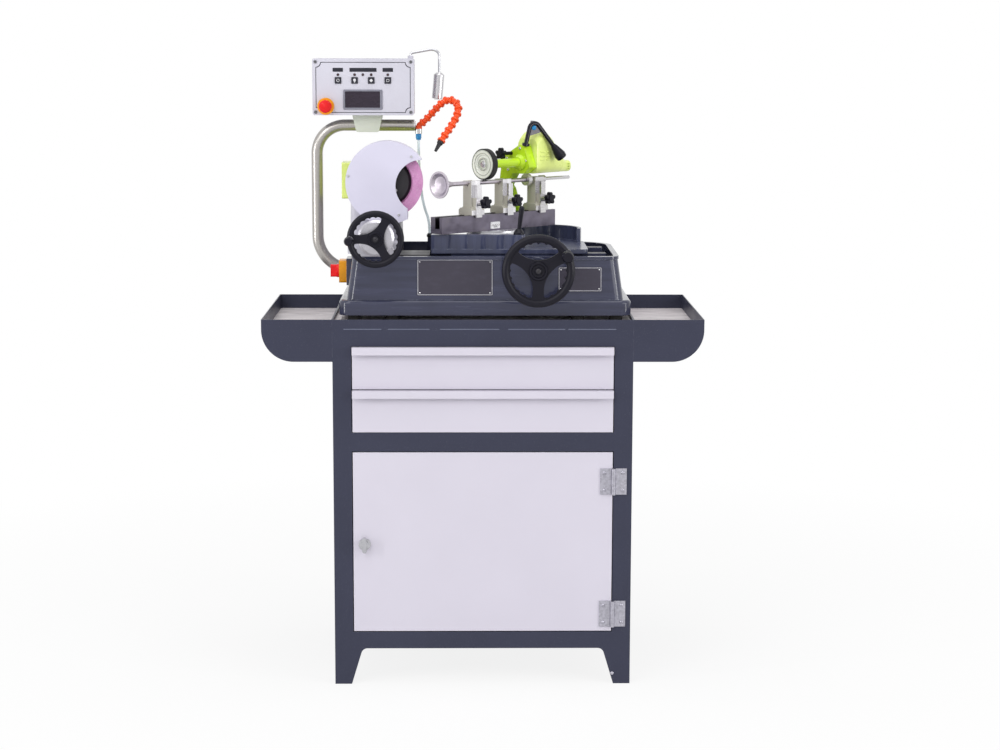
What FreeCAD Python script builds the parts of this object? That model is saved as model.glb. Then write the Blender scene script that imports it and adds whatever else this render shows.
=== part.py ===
import FreeCAD, Part
import math
import os

# Wet valve-face grinder on a cabinet stand, in millimetres.
# X runs to the right, Y to the back, Z up. The origin lies on the floor, at the centre of the foot holes.

# Fits shared by all pieces
FIT = 0.05
GAP = 0.3
SHEET = 2.0

# Cabinet stand
CABINET_WIDTH = 660.0
CABINET_DEPTH = 480.0
LEG_HEIGHT = 82.0
BOTTOM_RAIL = 38.0
DOOR_OPENING_HEIGHT = 410.0
MIDDLE_RAIL = 42.0
DRAWER_OPENING_HEIGHT = 192.0
TOP_RAIL = 59.0
STILE_WIDTH = 41.0
RETURN_DEPTH = 15.0
TOP_TRAY_DEPTH = 8.0
LEG_FOOT_WIDTH = 37.0
LEG_TOP_WIDTH = 62.0
LEG_FILLET = 14.0
FOOT_PLATE = 34.0
FOOT_PLATE_THICKNESS = 4.0
FOOT_HOLE_RADIUS = 6.0
FOOT_HOLE_INSET = 34.0
RUNNER_REACH = 14.0
RUNNER_LIP = 14.0

# Drawers, door and latch
PANEL_GAP = 2.0
DRAWER_LIP_HEIGHT = 17.0
DRAWER_LIP_PROUD = 14.0
DRAWER_SIDE_GAP = 9.0
DRAWER_BOX_HEIGHT = 60.0
DRAWER_BOX_DEPTH = 400.0
DRAWER_FLOOR_LIFT = 10.0
DOOR_THICKNESS = 18.0
HINGE_LEAF = 24.0
HINGE_HEIGHT = 59.0
HINGE_BARREL_RADIUS = 5.0
HINGE_PIN_RADIUS = 2.5
UPPER_HINGE_INSET = 38.0
LOWER_HINGE_INSET = 12.0
LATCH_INSET = 27.0
LATCH_HEIGHT = 321.0
LATCH_SHAFT_RADIUS = 8.0
LATCH_CAM_LENGTH = 30.0

# Side trays
SIDE_TRAY_WIDTH = 155.0
SIDE_TRAY_HEIGHT = 93.0
SIDE_TRAY_RADIUS = 70.0
SIDE_TRAY_DEPTH = 33.0

# Base casting, a trough with drafted walls
BASE_X = 5.0
BASE_Y = -7.0
BASE_LIFT = 5.0
FLANGE_WIDTH = 645.0
FLANGE_DEPTH = 396.0
FLANGE_HEIGHT = 33.0
FLANGE_ROUND = 8.0
WALL_FOOT_WIDTH = 612.0
WALL_FOOT_DEPTH = 378.0
RIM_WIDTH = 585.0
RIM_DEPTH = 366.0
WALL_HEIGHT = 96.0
WALL = 9.0
RIM_BEAD = 3.0
RIM_BEAD_HEIGHT = 7.0
FRONT_CORNER = 26.0
REAR_CORNER = 85.0
TROUGH_FLOOR = 11.0
BASE_FOOT_RADIUS = 14.0
BASE_FOOT_SPREAD = 290.0
BASE_FOOT_INNER_SPREAD = 205.0
BASE_FOOT_INSET = 28.0

# Slide beds in the trough
GRIND_X = -214.0
BED_LEFT = -292.0
BED_RIGHT = -112.0
BED_FRONT = -172.0
BED_BACK = 150.0
BED_HEIGHT = 53.0
DECK_HEIGHT = 33.0
APRON_BACK = -60.0
GUIDE_WIDTH = 70.0
GUIDE_HEIGHT = 10.0
WAY_WIDTH = 32.0
WAY_FRONT_Y = -120.0
WAY_BACK_Y = 20.0
WAY_LEFT = -105.0
WAY_RIGHT = 274.0

# Grinding head
SPINDLE_RISE = 155.0
WHEEL_RADIUS = 80.0
WHEEL_WIDTH = 25.0
WHEEL_FACE_Y = -75.0
WHEEL_RECESS_RADIUS = 57.0
WHEEL_RECESS_DEPTH = 13.0
SPINDLE_RADIUS = 12.0
WHEEL_FLANGE_RADIUS = 54.0
GUARD_RADIUS = 93.0
GUARD_FRONT_Y = -88.0
GUARD_DEPTH = 43.0
GUARD_SHEET = 3.0
GUARD_SKIRT = 82.0
GUARD_SKIRT_HALF = 46.0
BITE_RADIUS = 59.0
BITE_REACH = 78.0
BITE_DROP = 8.0
MOTOR_RADIUS = 62.0
MOTOR_LENGTH = 165.0
MOTOR_FLANGE = 14.0
MOTOR_FINS = 18
FIN_HEIGHT = 5.0
TERMINAL_BOX = (48.0, 80.0, 82.0)
SADDLE_LEFT = -300.0
SADDLE_WIDTH = 116.0
SADDLE_FRONT = -150.0
SADDLE_BACK = 120.0
SADDLE_HEIGHT = 25.0
COLUMN_INSET = 2.0
COLUMN_FRONT = -42.0
COLUMN_BACK = 112.0
COLUMN_DROP = 44.0
NUT_LUG_WIDTH = 54.0
NUT_LUG_LENGTH = 45.0

# Feed screw with its handwheel, at the left
FEED_OFFSET = 20.0
FEED_RISE = 42.0
FEED_SCREW_RADIUS = 8.0
FEED_SCREW_END = -62.0
FEED_BOSS_RADIUS = 32.0
FEED_BRACKET_WIDTH = 80.0
FEED_BRACKET_FRONT = -204.0
FEED_BRACKET_BACK = -167.0
DIAL_RADIUS = 40.0
DIAL_WIDTH = 16.0
LEFT_WHEEL_RADIUS = 62.5
RIM_SHARE = 0.11
RIM_SIDES = 12
HUB_SHARE = 0.27
WINDOW_HALF_ANGLE = 47.0
FINGER_HOLLOWS = 6
GRIP_PIN = 4.0
GRIP_LENGTH = 54.0
GRIP_COLLAR = 14.0

# Carriage with its handwheel, at the right
CARRIAGE_LEFT = -115.0
CARRIAGE_RIGHT = 234.0
CARRIAGE_FRONT = -150.0
CARRIAGE_BACK = 58.0
CARRIAGE_LIFT = 2.0
CARRIAGE_THICKNESS = 10.0
LOBE_X = 134.0
LOBE_Y = 45.0
LOBE_RADIUS = 94.0
SPLASH_WALL = 8.0
SPLASH_HEIGHT = 32.0
SCALLOP_COUNT = 5
SCALLOP_RIGHT = 87.0
SCALLOP_DEPTH = 5.0
SCALLOP_WALL = 14.0
GIB_DROP = 10.0
GIB_WIDTH = 9.0
GIB_LEFT = -70.0
GIB_RIGHT = 200.0
PINION_X = 120.0
PINION_DROP = 25.0
PINION_MODULE = 2.0
PINION_TEETH = 16
PINION_FRONT = -92.0
PINION_WIDTH = 26.0
RACK_TEETH = 21
PINION_SHAFT_RADIUS = 9.0
RIGHT_WHEEL_RADIUS = 80.0
RIGHT_WHEEL_Y = -236.0

# Work head, drawn along X and turned to its angle on the swivel
WORK_ANGLE = 45.0
SWIVEL_X = 24.6
SWIVEL_Y = -28.4
TABLE_RADIUS = 60.0
TABLE_PIVOT_RADIUS = 16.0
TABLE_PIVOT_DEPTH = 7.0
RAIL_START = -180.0
RAIL_OVERHANG = 48.0
RAIL_WIDTH = 36.0
RAIL_HEIGHT = 37.0
RAIL_SLOT = 14.0
RAIL_SLOT_SHIFT = -3.0
RAIL_SLOT_DEPTH = 26.0
VALVE_RISE = 71.0
VALVE_HEAD_RADIUS = 30.0
VALVE_STEM_RADIUS = 5.0
VALVE_FACE = -172.0
VALVE_LENGTH = 276.0
BLOCK_FRONT = -70.0
BLOCK_REAR = 31.0
STOP_STAND_GAP = 35.0
BLOCK_FOOT = 40.0
BLOCK_FOOT_WIDTH = 42.0
BLOCK_FOOT_HEIGHT = 16.0
BLOCK_POST = 28.0
BLOCK_POST_WIDTH = 26.0
BLOCK_RISE = 6.0
STRAP = 4.0
STRAP_DROP = 5.0
ARM_WIDTH = 14.0
KNOB_RADIUS = 14.0
KNOB_BOSS = 11.0
KNOB_BOSS_RADIUS = 8.0
KNOB_RISE = 29.0
KNOB_STUD_RADIUS = 4.0
STOP_ROD_RADIUS = 4.0
STOP_ROD_REACH = 113.0
STOP_CUP_RADIUS = 13.5
STOP_CUP = 16.0
CLAMP_X = 80.0
CLAMP_LEVER_LENGTH = 52.0

# Friction drive that spins the valve
DRIVE_WHEEL_RADIUS = 35.0
DRIVE_WHEEL_WIDTH = 15.0
DRIVE_WHEEL_START = -35.0
TYRE = 4.0
DRIVE_SPINDLE_RADIUS = 10.0
DRIVE_SHAFT_RADIUS = 6.0
GEARBOX_START = 88.0
GEARBOX_LENGTH = 24.0
GEARBOX_SIDES = ((-29.0, -11.0), (-9.0, -26.0), (46.0, -26.0), (50.0, 14.0), (3.0, 40.0), (-11.0, 37.0))
GEARBOX_ROUND = 4.0
DRIVE_MOTOR_LENGTH = 112.0
DRIVE_MOTOR_SHARES = (0.0, 0.22, 0.75, 1.0)
DRIVE_MOTOR_HALVES = (30.0, 33.0, 25.0, 19.0)
DRIVE_MOTOR_HEIGHTS = (52.0, 71.0, 26.0, 3.0)
DRIVE_MOTOR_ROUNDS = (14.0, 18.0, 15.0, 13.0)
DRIVE_TAIL = 18.0
DRIVE_TAIL_HALF = 17.0
DRIVE_TAIL_ROUND = 11.0
TAIL_SLOTS = 3
TAIL_SLOT = 2.4
TAIL_SLOT_PITCH = 5.5
PIVOT_BACK = 58.0
PIVOT_RISE = 50.0
PIVOT_RADIUS = 6.0
EAR = 10.0
EAR_SPAN = 44.0
LEVER_RADIUS = 5.0
LEVER_BEND = 12.0
LEVER_ROUTE = ((5.0, -12.0, 39.0), (11.0, -26.0, 105.0), (65.0, -45.0, 35.0))
TENSION_KNOB = (28.0, 20.0)
TENSION_STANDOFF = 28.0

# Switch box on its bent tube
TUBE_RADIUS = 13.0
TUBE_X = -378.0
TUBE_Y = 40.0
TUBE_RISE = 278.0
TUBE_END_X = -156.0
TUBE_BEND = 64.0
TUBE_FOOT_DROP = 52.0
TUBE_FOOT_BEND = 78.0
TUBE_FOOT_X = -284.0
TUBE_BOSS_RADIUS = 20.0
BOX_LEFT = -384.0
BOX_WIDTH = 229.0
BOX_LIFT = 24.0
BOX_HEIGHT = 127.0
BOX_DEPTH = 80.0
BOX_FRONT = -8.0
BOX_WALL = 3.0
LID = 4.0
CLAMP_TOP_WIDTH = 69.0
CLAMP_FOOT_WIDTH = 51.0
CLAMP_INSET = 122.5
CLAMP_DEPTH = 42.0
KEY_SIZE = 14.0
KEY_PITCH = 37.4
KEY_INSET = 58.0
KEY_RISE = 78.0
KEY_PROUD = 2.0
KEY_TRAVEL = 1.0
STOP_INSET = 30.0
STOP_RISE = 20.0
STOP_BUTTON_RADIUS = 14.5
STOP_COLLAR_RADIUS = 19.0
STOP_TRAVEL = 4.0

# Main switch on the left wall of the trough
SWITCH_Y = -60.0
SWITCH_DROP = 45.0
SWITCH_SIZE = 50.0
SWITCH_DEPTH = 17.0
SWITCH_PAD_X = -306.0
SWITCH_KNOB_RADIUS = 15.0
SWITCH_KNOB = 20.0

# Coolant arm, its feed tube and the lamp
HOSE_REACH = 10.0
HOSE_SEAT_DROP = 8.0
SEGMENT_RADIUS = 9.5
SEGMENT_COUNT = 15
HOSE_ROUTE = (
    (0.0, 0.0, 7.0),
    (25.0, -7.0, 29.0),
    (49.0, -15.0, 55.0),
    (70.0, -26.0, 67.0),
    (90.0, -39.0, 56.0),
    (89.0, -53.0, 35.0),
    (70.0, -74.0, 1.0),
    (52.0, -89.0, -25.0),
)
NOZZLE_LENGTH = 26.0
FEED_TUBE_RADIUS = 3.0
FEED_TUBE_ROUTE = (
    (0.0, 0.0, -25.0),
    (0.0, 0.0, -67.0),
    (3.0, 10.0, -127.0),
    (11.0, 24.0, -179.0),
    (24.0, 40.0, -215.0),
    (24.0, 40.0, -242.0),
)
SPIGOT_RADIUS = 5.0
LAMP_INSET = 9.0
LAMP_Y = 60.0
LAMP_ARM_RADIUS = 3.0
LAMP_ROUTE = ((0.0, 0.0), (0.0, 12.0), (50.0, 21.0), (65.4, 14.0), (65.4, -31.0))
LAMP_BENDS = (0.0, 6.0, 24.0, 13.0, 0.0)
LAMP_RADIUS = 12.0
LAMP_LENGTH = 60.0
LAMP_LEAN = 5.0

# Levels and faces that follow from the sizes above
DOOR_BOTTOM = LEG_HEIGHT + BOTTOM_RAIL
DOOR_TOP = DOOR_BOTTOM + DOOR_OPENING_HEIGHT
DRAWER_BOTTOM = DOOR_TOP + MIDDLE_RAIL
DRAWER_TOP = DRAWER_BOTTOM + DRAWER_OPENING_HEIGHT
RIM_Z = DRAWER_TOP + TOP_RAIL
TRAY_FLOOR_Z = RIM_Z - TOP_TRAY_DEPTH
HALF_WIDTH = CABINET_WIDTH / 2
FRONT_Y = -CABINET_DEPTH / 2
BACK_Y = CABINET_DEPTH / 2
OPENING_HALF = HALF_WIDTH - STILE_WIDTH
BASE_BOTTOM = RIM_Z + BASE_LIFT
WALL_FOOT_Z = BASE_BOTTOM + FLANGE_HEIGHT
BASE_TOP = WALL_FOOT_Z + WALL_HEIGHT
TROUGH_Z = WALL_FOOT_Z + TROUGH_FLOOR
BED_Z = TROUGH_Z + BED_HEIGHT
DECK_Z = BED_Z + DECK_HEIGHT
CARRIAGE_Z = BASE_TOP + CARRIAGE_LIFT
CARRIAGE_TOP = CARRIAGE_Z + CARRIAGE_THICKNESS
WAY_Z = CARRIAGE_Z - GAP
WALL_TOP = CARRIAGE_TOP + SPLASH_HEIGHT
RAIL_Z = WALL_TOP + SHEET
RAIL_TOP = RAIL_Z + RAIL_HEIGHT
SPINDLE_Z = BASE_TOP + SPINDLE_RISE
GUARD_SKIRT_Z = SPINDLE_Z - GUARD_SKIRT
BITE_X = GRIND_X + BITE_REACH
BITE_Z = SPINDLE_Z - BITE_DROP
COLUMN_TOP = SPINDLE_Z - COLUMN_DROP
FEED_X = GRIND_X - FEED_OFFSET
FEED_Z = BASE_TOP + FEED_RISE
PINION_Z = BASE_TOP - PINION_DROP
VALVE_Z = RAIL_TOP + VALVE_RISE
KNOB_Z = RAIL_TOP + KNOB_RISE
PIVOT_Z = RAIL_TOP + PIVOT_RISE
BLOCK_STOP = VALVE_FACE + VALVE_LENGTH + STOP_STAND_GAP
RAIL_END = BLOCK_STOP + RAIL_OVERHANG
SWITCH_Z = BASE_TOP - SWITCH_DROP
TUBE_TOP = BASE_TOP + TUBE_RISE
TUBE_CORNER_Z = BASE_TOP - TUBE_FOOT_DROP
PITCH_RADIUS = PINION_MODULE * PINION_TEETH / 2
DRIVE_Z = VALVE_Z + VALVE_STEM_RADIUS + GAP + DRIVE_WHEEL_RADIUS
GEARBOX_END = GEARBOX_START + GEARBOX_LENGTH
BOX_BOTTOM = TUBE_TOP + BOX_LIFT
BOX_RIGHT = BOX_LEFT + BOX_WIDTH
BOX_TOP = BOX_BOTTOM + BOX_HEIGHT
BOX_FACE = BOX_FRONT + LID
CLAMP_CENTRE = BOX_LEFT + CLAMP_INSET
KEY_FIRST = BOX_LEFT + KEY_INSET
KEY_Z = BOX_BOTTOM + KEY_RISE
STOP_X = BOX_LEFT + STOP_INSET
STOP_Z = BOX_BOTTOM + STOP_RISE
HOSE_X = TUBE_END_X + HOSE_REACH
HOSE_SEAT_Z = TUBE_TOP - HOSE_SEAT_DROP
LAMP_X = BOX_RIGHT - LAMP_INSET

X_AXIS = FreeCAD.Vector(1, 0, 0)
Y_AXIS = FreeCAD.Vector(0, 1, 0)
Z_AXIS = FreeCAD.Vector(0, 0, 1)


def vec(x, y, z):
    return FreeCAD.Vector(x, y, z)


def box(x0, x1, y0, y1, z0, z1):
    return Part.makeBox(x1 - x0, y1 - y0, z1 - z0, vec(x0, y0, z0))


def rod(start, end, radius):
    """Round bar between two points."""
    along = end - start
    return Part.makeCylinder(radius, along.Length, start, along)


def fuse(*shapes):
    """One solid from pieces that are cast, welded or turned as one."""
    return shapes[0].fuse(list(shapes[1:])).removeSplitter()


def cut(shape, *tools):
    return shape.cut(list(tools))


def corner_edges(points, radii, closed):
    """Straight runs between points, with a tangent arc of the given radius at each corner."""
    count = len(points)
    starts = []
    ends = []
    arcs = []
    for i, point in enumerate(points):
        radius = radii[i]
        if radius <= 0 or (not closed and i in (0, count - 1)):
            starts.append(point)
            ends.append(point)
            arcs.append(None)
            continue
        back = (points[i - 1] - point).normalize()
        ahead = (points[(i + 1) % count] - point).normalize()
        half = back.getAngle(ahead) / 2
        reach = radius / math.tan(half)
        middle = (back + ahead).normalize() * (radius / math.sin(half) - radius)
        starts.append(point + back * reach)
        ends.append(point + ahead * reach)
        arcs.append(Part.Arc(starts[-1], point + middle, ends[-1]).toShape())
    edges = []
    for i in range(count):
        if arcs[i]:
            edges.append(arcs[i])
        following = (i + 1) % count
        if (closed or following) and (starts[following] - ends[i]).Length > 1e-6:
            edges.append(Part.makeLine(ends[i], starts[following]))
    return edges


def outline(points, radii):
    """Closed wire through the points, its corners rounded by one radius or by a list of them."""
    if not isinstance(radii, (list, tuple)):
        radii = [radii] * len(points)
    return Part.Wire(corner_edges(points, radii, True))


def prism(points, radii, depth):
    """Solid drawn from a closed outline along the depth vector."""
    return Part.Face(outline(points, radii)).extrude(depth)


def flat(pairs, z):
    return [vec(x, y, z) for x, y in pairs]


def upright(pairs, y):
    return [vec(x, y, z) for x, z in pairs]


def sideways(pairs, x):
    return [vec(x, y, z) for y, z in pairs]


def rectangle(x0, x1, y0, y1):
    return ((x0, y0), (x1, y0), (x1, y1), (x0, y1))


def turned(profile, origin, axis):
    """Solid of revolution from (radius, height) pairs measured along the axis from the origin."""
    wire = Part.makePolygon([vec(r, 0, h) for r, h in profile] + [vec(profile[0][0], 0, profile[0][1])])
    solid = Part.Face(wire).revolve(vec(0, 0, 0), Z_AXIS, 360)
    solid.Placement = FreeCAD.Placement(origin, FreeCAD.Rotation(Z_AXIS, axis))
    return solid


def tube_along(points, radii, radius):
    """Round bar or hose along straight runs joined by tangent arcs."""
    path = Part.Wire(corner_edges(points, radii, False))
    ring = Part.Wire(Part.makeCircle(radius, points[0], points[1] - points[0]))
    return path.makePipeShell([ring], True, True)


def polar(shape, count, centre, axis):
    """Copies of a shape spread evenly round an axis."""
    copies = []
    for i in range(count):
        turn = shape.copy()
        turn.rotate(centre, axis, 360.0 * i / count)
        copies.append(turn)
    return copies


def frame_box(half, z0, z1, depth):
    """Folded return round an opening in the stand's front."""
    outer = box(-half - SHEET, half + SHEET, FRONT_Y, FRONT_Y + depth, z0 - SHEET, z1 + SHEET)
    return cut(outer, box(-half, half, FRONT_Y - 1, FRONT_Y + depth + 1, z0, z1))


def leg_gap(half, level):
    """Outline of the gap between two legs, from the floor to the bottom rail."""
    foot = half - LEG_FOOT_WIDTH
    top = half - LEG_TOP_WIDTH
    return ((-foot, -level), (foot, -level), (top, LEG_HEIGHT), (-top, LEG_HEIGHT))


def runner(side, floor):
    """Angle that one side of a drawer slides on."""
    inner = OPENING_HALF - DRAWER_SIDE_GAP - RUNNER_REACH
    wall = HALF_WIDTH - SHEET
    front = FRONT_Y + RETURN_DEPTH
    back = BACK_Y - SHEET
    ledge = box(inner, wall, front, back, floor - SHEET, floor)
    lip = box(wall - SHEET, wall, front, back, floor - RUNNER_LIP, floor)
    angle = fuse(ledge, lip)
    if side < 0:
        angle = angle.mirror(vec(0, 0, 0), X_AXIS)
    return angle


def drawer_levels():
    """Bottom and top of each drawer front, lower drawer first."""
    height = DRAWER_OPENING_HEIGHT / 2
    levels = []
    for i in range(2):
        low = DRAWER_BOTTOM + height * i
        levels.append((low + PANEL_GAP / 2, low + height - PANEL_GAP / 2))
    return levels


def foot_plates():
    plates = []
    inner_x = HALF_WIDTH - SHEET
    inner_y = BACK_Y - SHEET
    for sx in (-1, 1):
        for sy in (-1, 1):
            corner = flat(rectangle(sx * inner_x, sx * (inner_x - FOOT_PLATE),
                                    sy * inner_y, sy * (inner_y - FOOT_PLATE)), 0)
            plate = prism(corner, 0, vec(0, 0, FOOT_PLATE_THICKNESS))
            hole_x = sx * (HALF_WIDTH - FOOT_HOLE_INSET / 2 - SHEET)
            hole_y = sy * (BACK_Y - FOOT_HOLE_INSET / 2 - SHEET)
            hole = rod(vec(hole_x, hole_y, -1), vec(hole_x, hole_y, FOOT_PLATE_THICKNESS + 1), FOOT_HOLE_RADIUS)
            plates.append(cut(plate, hole))
    return plates


def cabinet_body():
    """Welded sheet stand: four walls, legs, shelves, top tray and drawer runners."""
    inner_x = HALF_WIDTH - SHEET
    inner_y = BACK_Y - SHEET
    walls = box(-HALF_WIDTH, HALF_WIDTH, FRONT_Y, BACK_Y, 0, RIM_Z)
    walls = cut(walls, box(-inner_x, inner_x, -inner_y, inner_y, -1, RIM_Z + 1))
    rounds = [0, 0, LEG_FILLET, LEG_FILLET]
    front_gap = prism(upright(leg_gap(HALF_WIDTH, 1), FRONT_Y - 1), rounds, vec(0, CABINET_DEPTH + 2, 0))
    side_gap = prism(sideways(leg_gap(BACK_Y, 1), -HALF_WIDTH - 1), rounds, vec(CABINET_WIDTH + 2, 0, 0))
    front = (FRONT_Y - 1, FRONT_Y + SHEET + 1)
    door_hole = box(-OPENING_HALF, OPENING_HALF, *front, DOOR_BOTTOM, DOOR_TOP)
    drawer_hole = box(-OPENING_HALF, OPENING_HALF, *front, DRAWER_BOTTOM, DRAWER_TOP)
    walls = cut(walls, front_gap, side_gap, door_hole, drawer_hole)
    shelves = []
    for top in (TRAY_FLOOR_Z, DRAWER_BOTTOM - MIDDLE_RAIL / 2, DOOR_BOTTOM):
        shelves.append(box(-inner_x, inner_x, -inner_y, inner_y, top - SHEET, top))
    frames = [frame_box(OPENING_HALF, DOOR_BOTTOM, DOOR_TOP, RETURN_DEPTH),
              frame_box(OPENING_HALF, DRAWER_BOTTOM, DRAWER_TOP, RETURN_DEPTH)]
    runners = []
    for low, _ in drawer_levels():
        for side in (-1, 1):
            runners.append(runner(side, low + DRAWER_FLOOR_LIFT - GAP))
    return fuse(walls, *shelves, *frames, *runners, *foot_plates())


def side_tray(side):
    """Folded tray with a round lower corner, open at the top and towards the stand."""
    inner = HALF_WIDTH
    outer = HALF_WIDTH + SIDE_TRAY_WIDTH
    bottom = RIM_Z - SIDE_TRAY_HEIGHT
    floor = RIM_Z - SIDE_TRAY_DEPTH
    wrap = ((inner, bottom), (outer, bottom), (outer, RIM_Z), (inner, RIM_Z))
    body = prism(upright(wrap, FRONT_Y), [0, SIDE_TRAY_RADIUS, 0, 0], vec(0, CABINET_DEPTH, 0))
    low = bottom + SHEET
    high = floor - SHEET
    hollow = ((inner - 1, low), (outer - SHEET, low), (outer - SHEET, RIM_Z + 1), (inner - 1, RIM_Z + 1))
    below = prism(upright(hollow, FRONT_Y + SHEET), [0, SIDE_TRAY_RADIUS - SHEET, 0, 0],
                  vec(0, CABINET_DEPTH - 2 * SHEET, 0))
    shelf = box(inner, outer - SHEET, FRONT_Y + SHEET, BACK_Y - SHEET, high, floor)
    wall = box(inner, inner + SHEET, FRONT_Y + SHEET, BACK_Y - SHEET, high, RIM_Z)
    tray = fuse(cut(body, below), shelf.common(below), wall)
    if side < 0:
        tray = tray.mirror(vec(0, 0, 0), X_AXIS)
    return tray


def drawer(low, high):
    """Drawer with a folded grip lip along the top of its front."""
    half = OPENING_HALF - PANEL_GAP
    lip_y = FRONT_Y - DRAWER_LIP_PROUD
    lip_z = high - DRAWER_LIP_HEIGHT
    section = ((FRONT_Y, low), (FRONT_Y + SHEET, low), (FRONT_Y + SHEET, high), (lip_y, high), (lip_y, lip_z),
               (lip_y + SHEET, lip_z), (lip_y + SHEET, high - SHEET), (FRONT_Y, high - SHEET))
    face = prism(sideways(section, -half), 0, vec(2 * half, 0, 0))
    side = OPENING_HALF - DRAWER_SIDE_GAP
    floor = low + DRAWER_FLOOR_LIFT
    front = FRONT_Y + SHEET
    shell = box(-side, side, front, front + DRAWER_BOX_DEPTH, floor, floor + DRAWER_BOX_HEIGHT)
    hollow = box(-side + SHEET, side - SHEET, front, front + DRAWER_BOX_DEPTH - SHEET,
                 floor + SHEET, floor + DRAWER_BOX_HEIGHT + 1)
    return fuse(face, cut(shell, hollow))


def hinge_levels():
    """Lower end of each door hinge."""
    return (DOOR_BOTTOM + LOWER_HINGE_INSET, DOOR_TOP - UPPER_HINGE_INSET - HINGE_HEIGHT)


HINGE_X = OPENING_HALF
HINGE_Y = FRONT_Y - HINGE_BARREL_RADIUS - GAP


def hinge_barrel(z0, z1, radius):
    return rod(vec(HINGE_X, HINGE_Y, z0), vec(HINGE_X, HINGE_Y, z1), radius)


def hinge_plate(x0, x1, z0, z1):
    return box(x0, x1, FRONT_Y - SHEET, FRONT_Y, z0, z1)


def frame_leaf(z0):
    """Leaf on the stile, with the two outer knuckles and the pin."""
    near = HINGE_X + HINGE_BARREL_RADIUS + GAP
    third = HINGE_HEIGHT / 3
    pieces = [hinge_plate(near, near + HINGE_LEAF, z0, z0 + HINGE_HEIGHT),
              hinge_barrel(z0, z0 + HINGE_HEIGHT, HINGE_PIN_RADIUS)]
    for low in (z0, z0 + 2 * third):
        pieces.append(hinge_barrel(low, low + third, HINGE_BARREL_RADIUS))
        pieces.append(hinge_plate(HINGE_X, near, low, low + third))
    return fuse(*pieces)


def door_leaf(z0):
    """Leaf on the door, with the middle knuckle."""
    near = HINGE_X - HINGE_BARREL_RADIUS - GAP
    third = HINGE_HEIGHT / 3
    low = z0 + third + GAP
    high = z0 + 2 * third - GAP
    leaf = fuse(hinge_plate(near - HINGE_LEAF, near, z0, z0 + HINGE_HEIGHT),
                hinge_plate(near, HINGE_X, low, high),
                hinge_barrel(low, high, HINGE_BARREL_RADIUS))
    return cut(leaf, hinge_barrel(z0, z0 + HINGE_HEIGHT, HINGE_PIN_RADIUS + FIT))


def door_panel():
    """Pan-shaped sheet door."""
    half = OPENING_HALF - PANEL_GAP
    low = DOOR_BOTTOM + PANEL_GAP
    high = DOOR_TOP - PANEL_GAP
    back = FRONT_Y + DOOR_THICKNESS
    pan = box(-half, half, FRONT_Y, back, low, high)
    hollow = box(-half + SHEET, half - SHEET, FRONT_Y + SHEET, back + 1, low + SHEET, high - SHEET)
    latch_x = -OPENING_HALF + LATCH_INSET
    hole = rod(vec(latch_x, FRONT_Y - 1, LATCH_HEIGHT), vec(latch_x, back, LATCH_HEIGHT), LATCH_SHAFT_RADIUS + FIT)
    return cut(pan, hollow, hole)


def latch_knob():
    """Wing knob on a rose, with the cam behind the door standing upright."""
    x = -OPENING_HALF + LATCH_INSET
    face = FRONT_Y - GAP
    cam_y = FRONT_Y + DOOR_THICKNESS + 2 * SHEET
    rose = rod(vec(x, face, LATCH_HEIGHT), vec(x, face - 4, LATCH_HEIGHT), 1.7 * LATCH_SHAFT_RADIUS)
    shaft = rod(vec(x, face - 10, LATCH_HEIGHT), vec(x, cam_y, LATCH_HEIGHT), LATCH_SHAFT_RADIUS)
    wing_outline = upright(((x - 5, LATCH_HEIGHT - 17), (x + 5, LATCH_HEIGHT - 17),
                            (x + 5, LATCH_HEIGHT + 17), (x - 5, LATCH_HEIGHT + 17)), face - 8)
    wing = prism(wing_outline, 4, vec(0, -9, 0))
    cam = box(x - LATCH_SHAFT_RADIUS, x + LATCH_SHAFT_RADIUS, cam_y, cam_y + SHEET,
              LATCH_HEIGHT - LATCH_SHAFT_RADIUS, LATCH_HEIGHT + LATCH_CAM_LENGTH)
    return fuse(rose, shaft, wing, cam)


def base_corners(width, depth, shrink, z):
    """Plan corners of the trough at one level."""
    x0 = BASE_X - width / 2 + shrink
    x1 = BASE_X + width / 2 - shrink
    y0 = BASE_Y - depth / 2 + shrink
    y1 = BASE_Y + depth / 2 - shrink
    return flat(rectangle(x0, x1, y0, y1), z)


def base_outline(width, depth, shrink, z):
    """Plan outline of the trough: tight front corners, broad rear ones."""
    front = FRONT_CORNER - shrink
    rear = REAR_CORNER - shrink
    return outline(base_corners(width, depth, shrink, z), [front, front, rear, rear])


def drafted_block(low, high, shrink):
    """Block with sloping sides between two plan rectangles, its upright corners rounded."""
    sides = [[low[k - 1], low[k], high[k], high[k - 1]] for k in range(4)]
    faces = [Part.Face(Part.makePolygon(ring + ring[:1])) for ring in sides + [low, high]]
    block = Part.Solid(Part.Shell(faces))
    upright_edges = [e for e in block.Edges if e.BoundBox.ZLength > 1]
    front = [e for e in upright_edges if e.BoundBox.Center.y < BASE_Y]
    block = block.makeFillet(FRONT_CORNER - shrink, front)
    upright_edges = [e for e in block.Edges if e.BoundBox.ZLength > 1]
    rear = [e for e in upright_edges if e.BoundBox.Center.y > BASE_Y]
    return block.makeFillet(REAR_CORNER - shrink, rear)


def from_seat(offset):
    """Point of the coolant lines, measured from the arm's seat."""
    return vec(HOSE_X, TUBE_Y, HOSE_SEAT_Z) + vec(*offset)


def tube_corners():
    """Centre line of the bent support tube, from its free end to the trough's wall."""
    return [vec(TUBE_END_X, TUBE_Y, TUBE_TOP), vec(TUBE_X, TUBE_Y, TUBE_TOP),
            vec(TUBE_X, TUBE_Y, TUBE_CORNER_Z), vec(TUBE_FOOT_X, TUBE_Y, TUBE_CORNER_Z)]


def rim_front():
    return BASE_Y - RIM_DEPTH / 2


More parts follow.
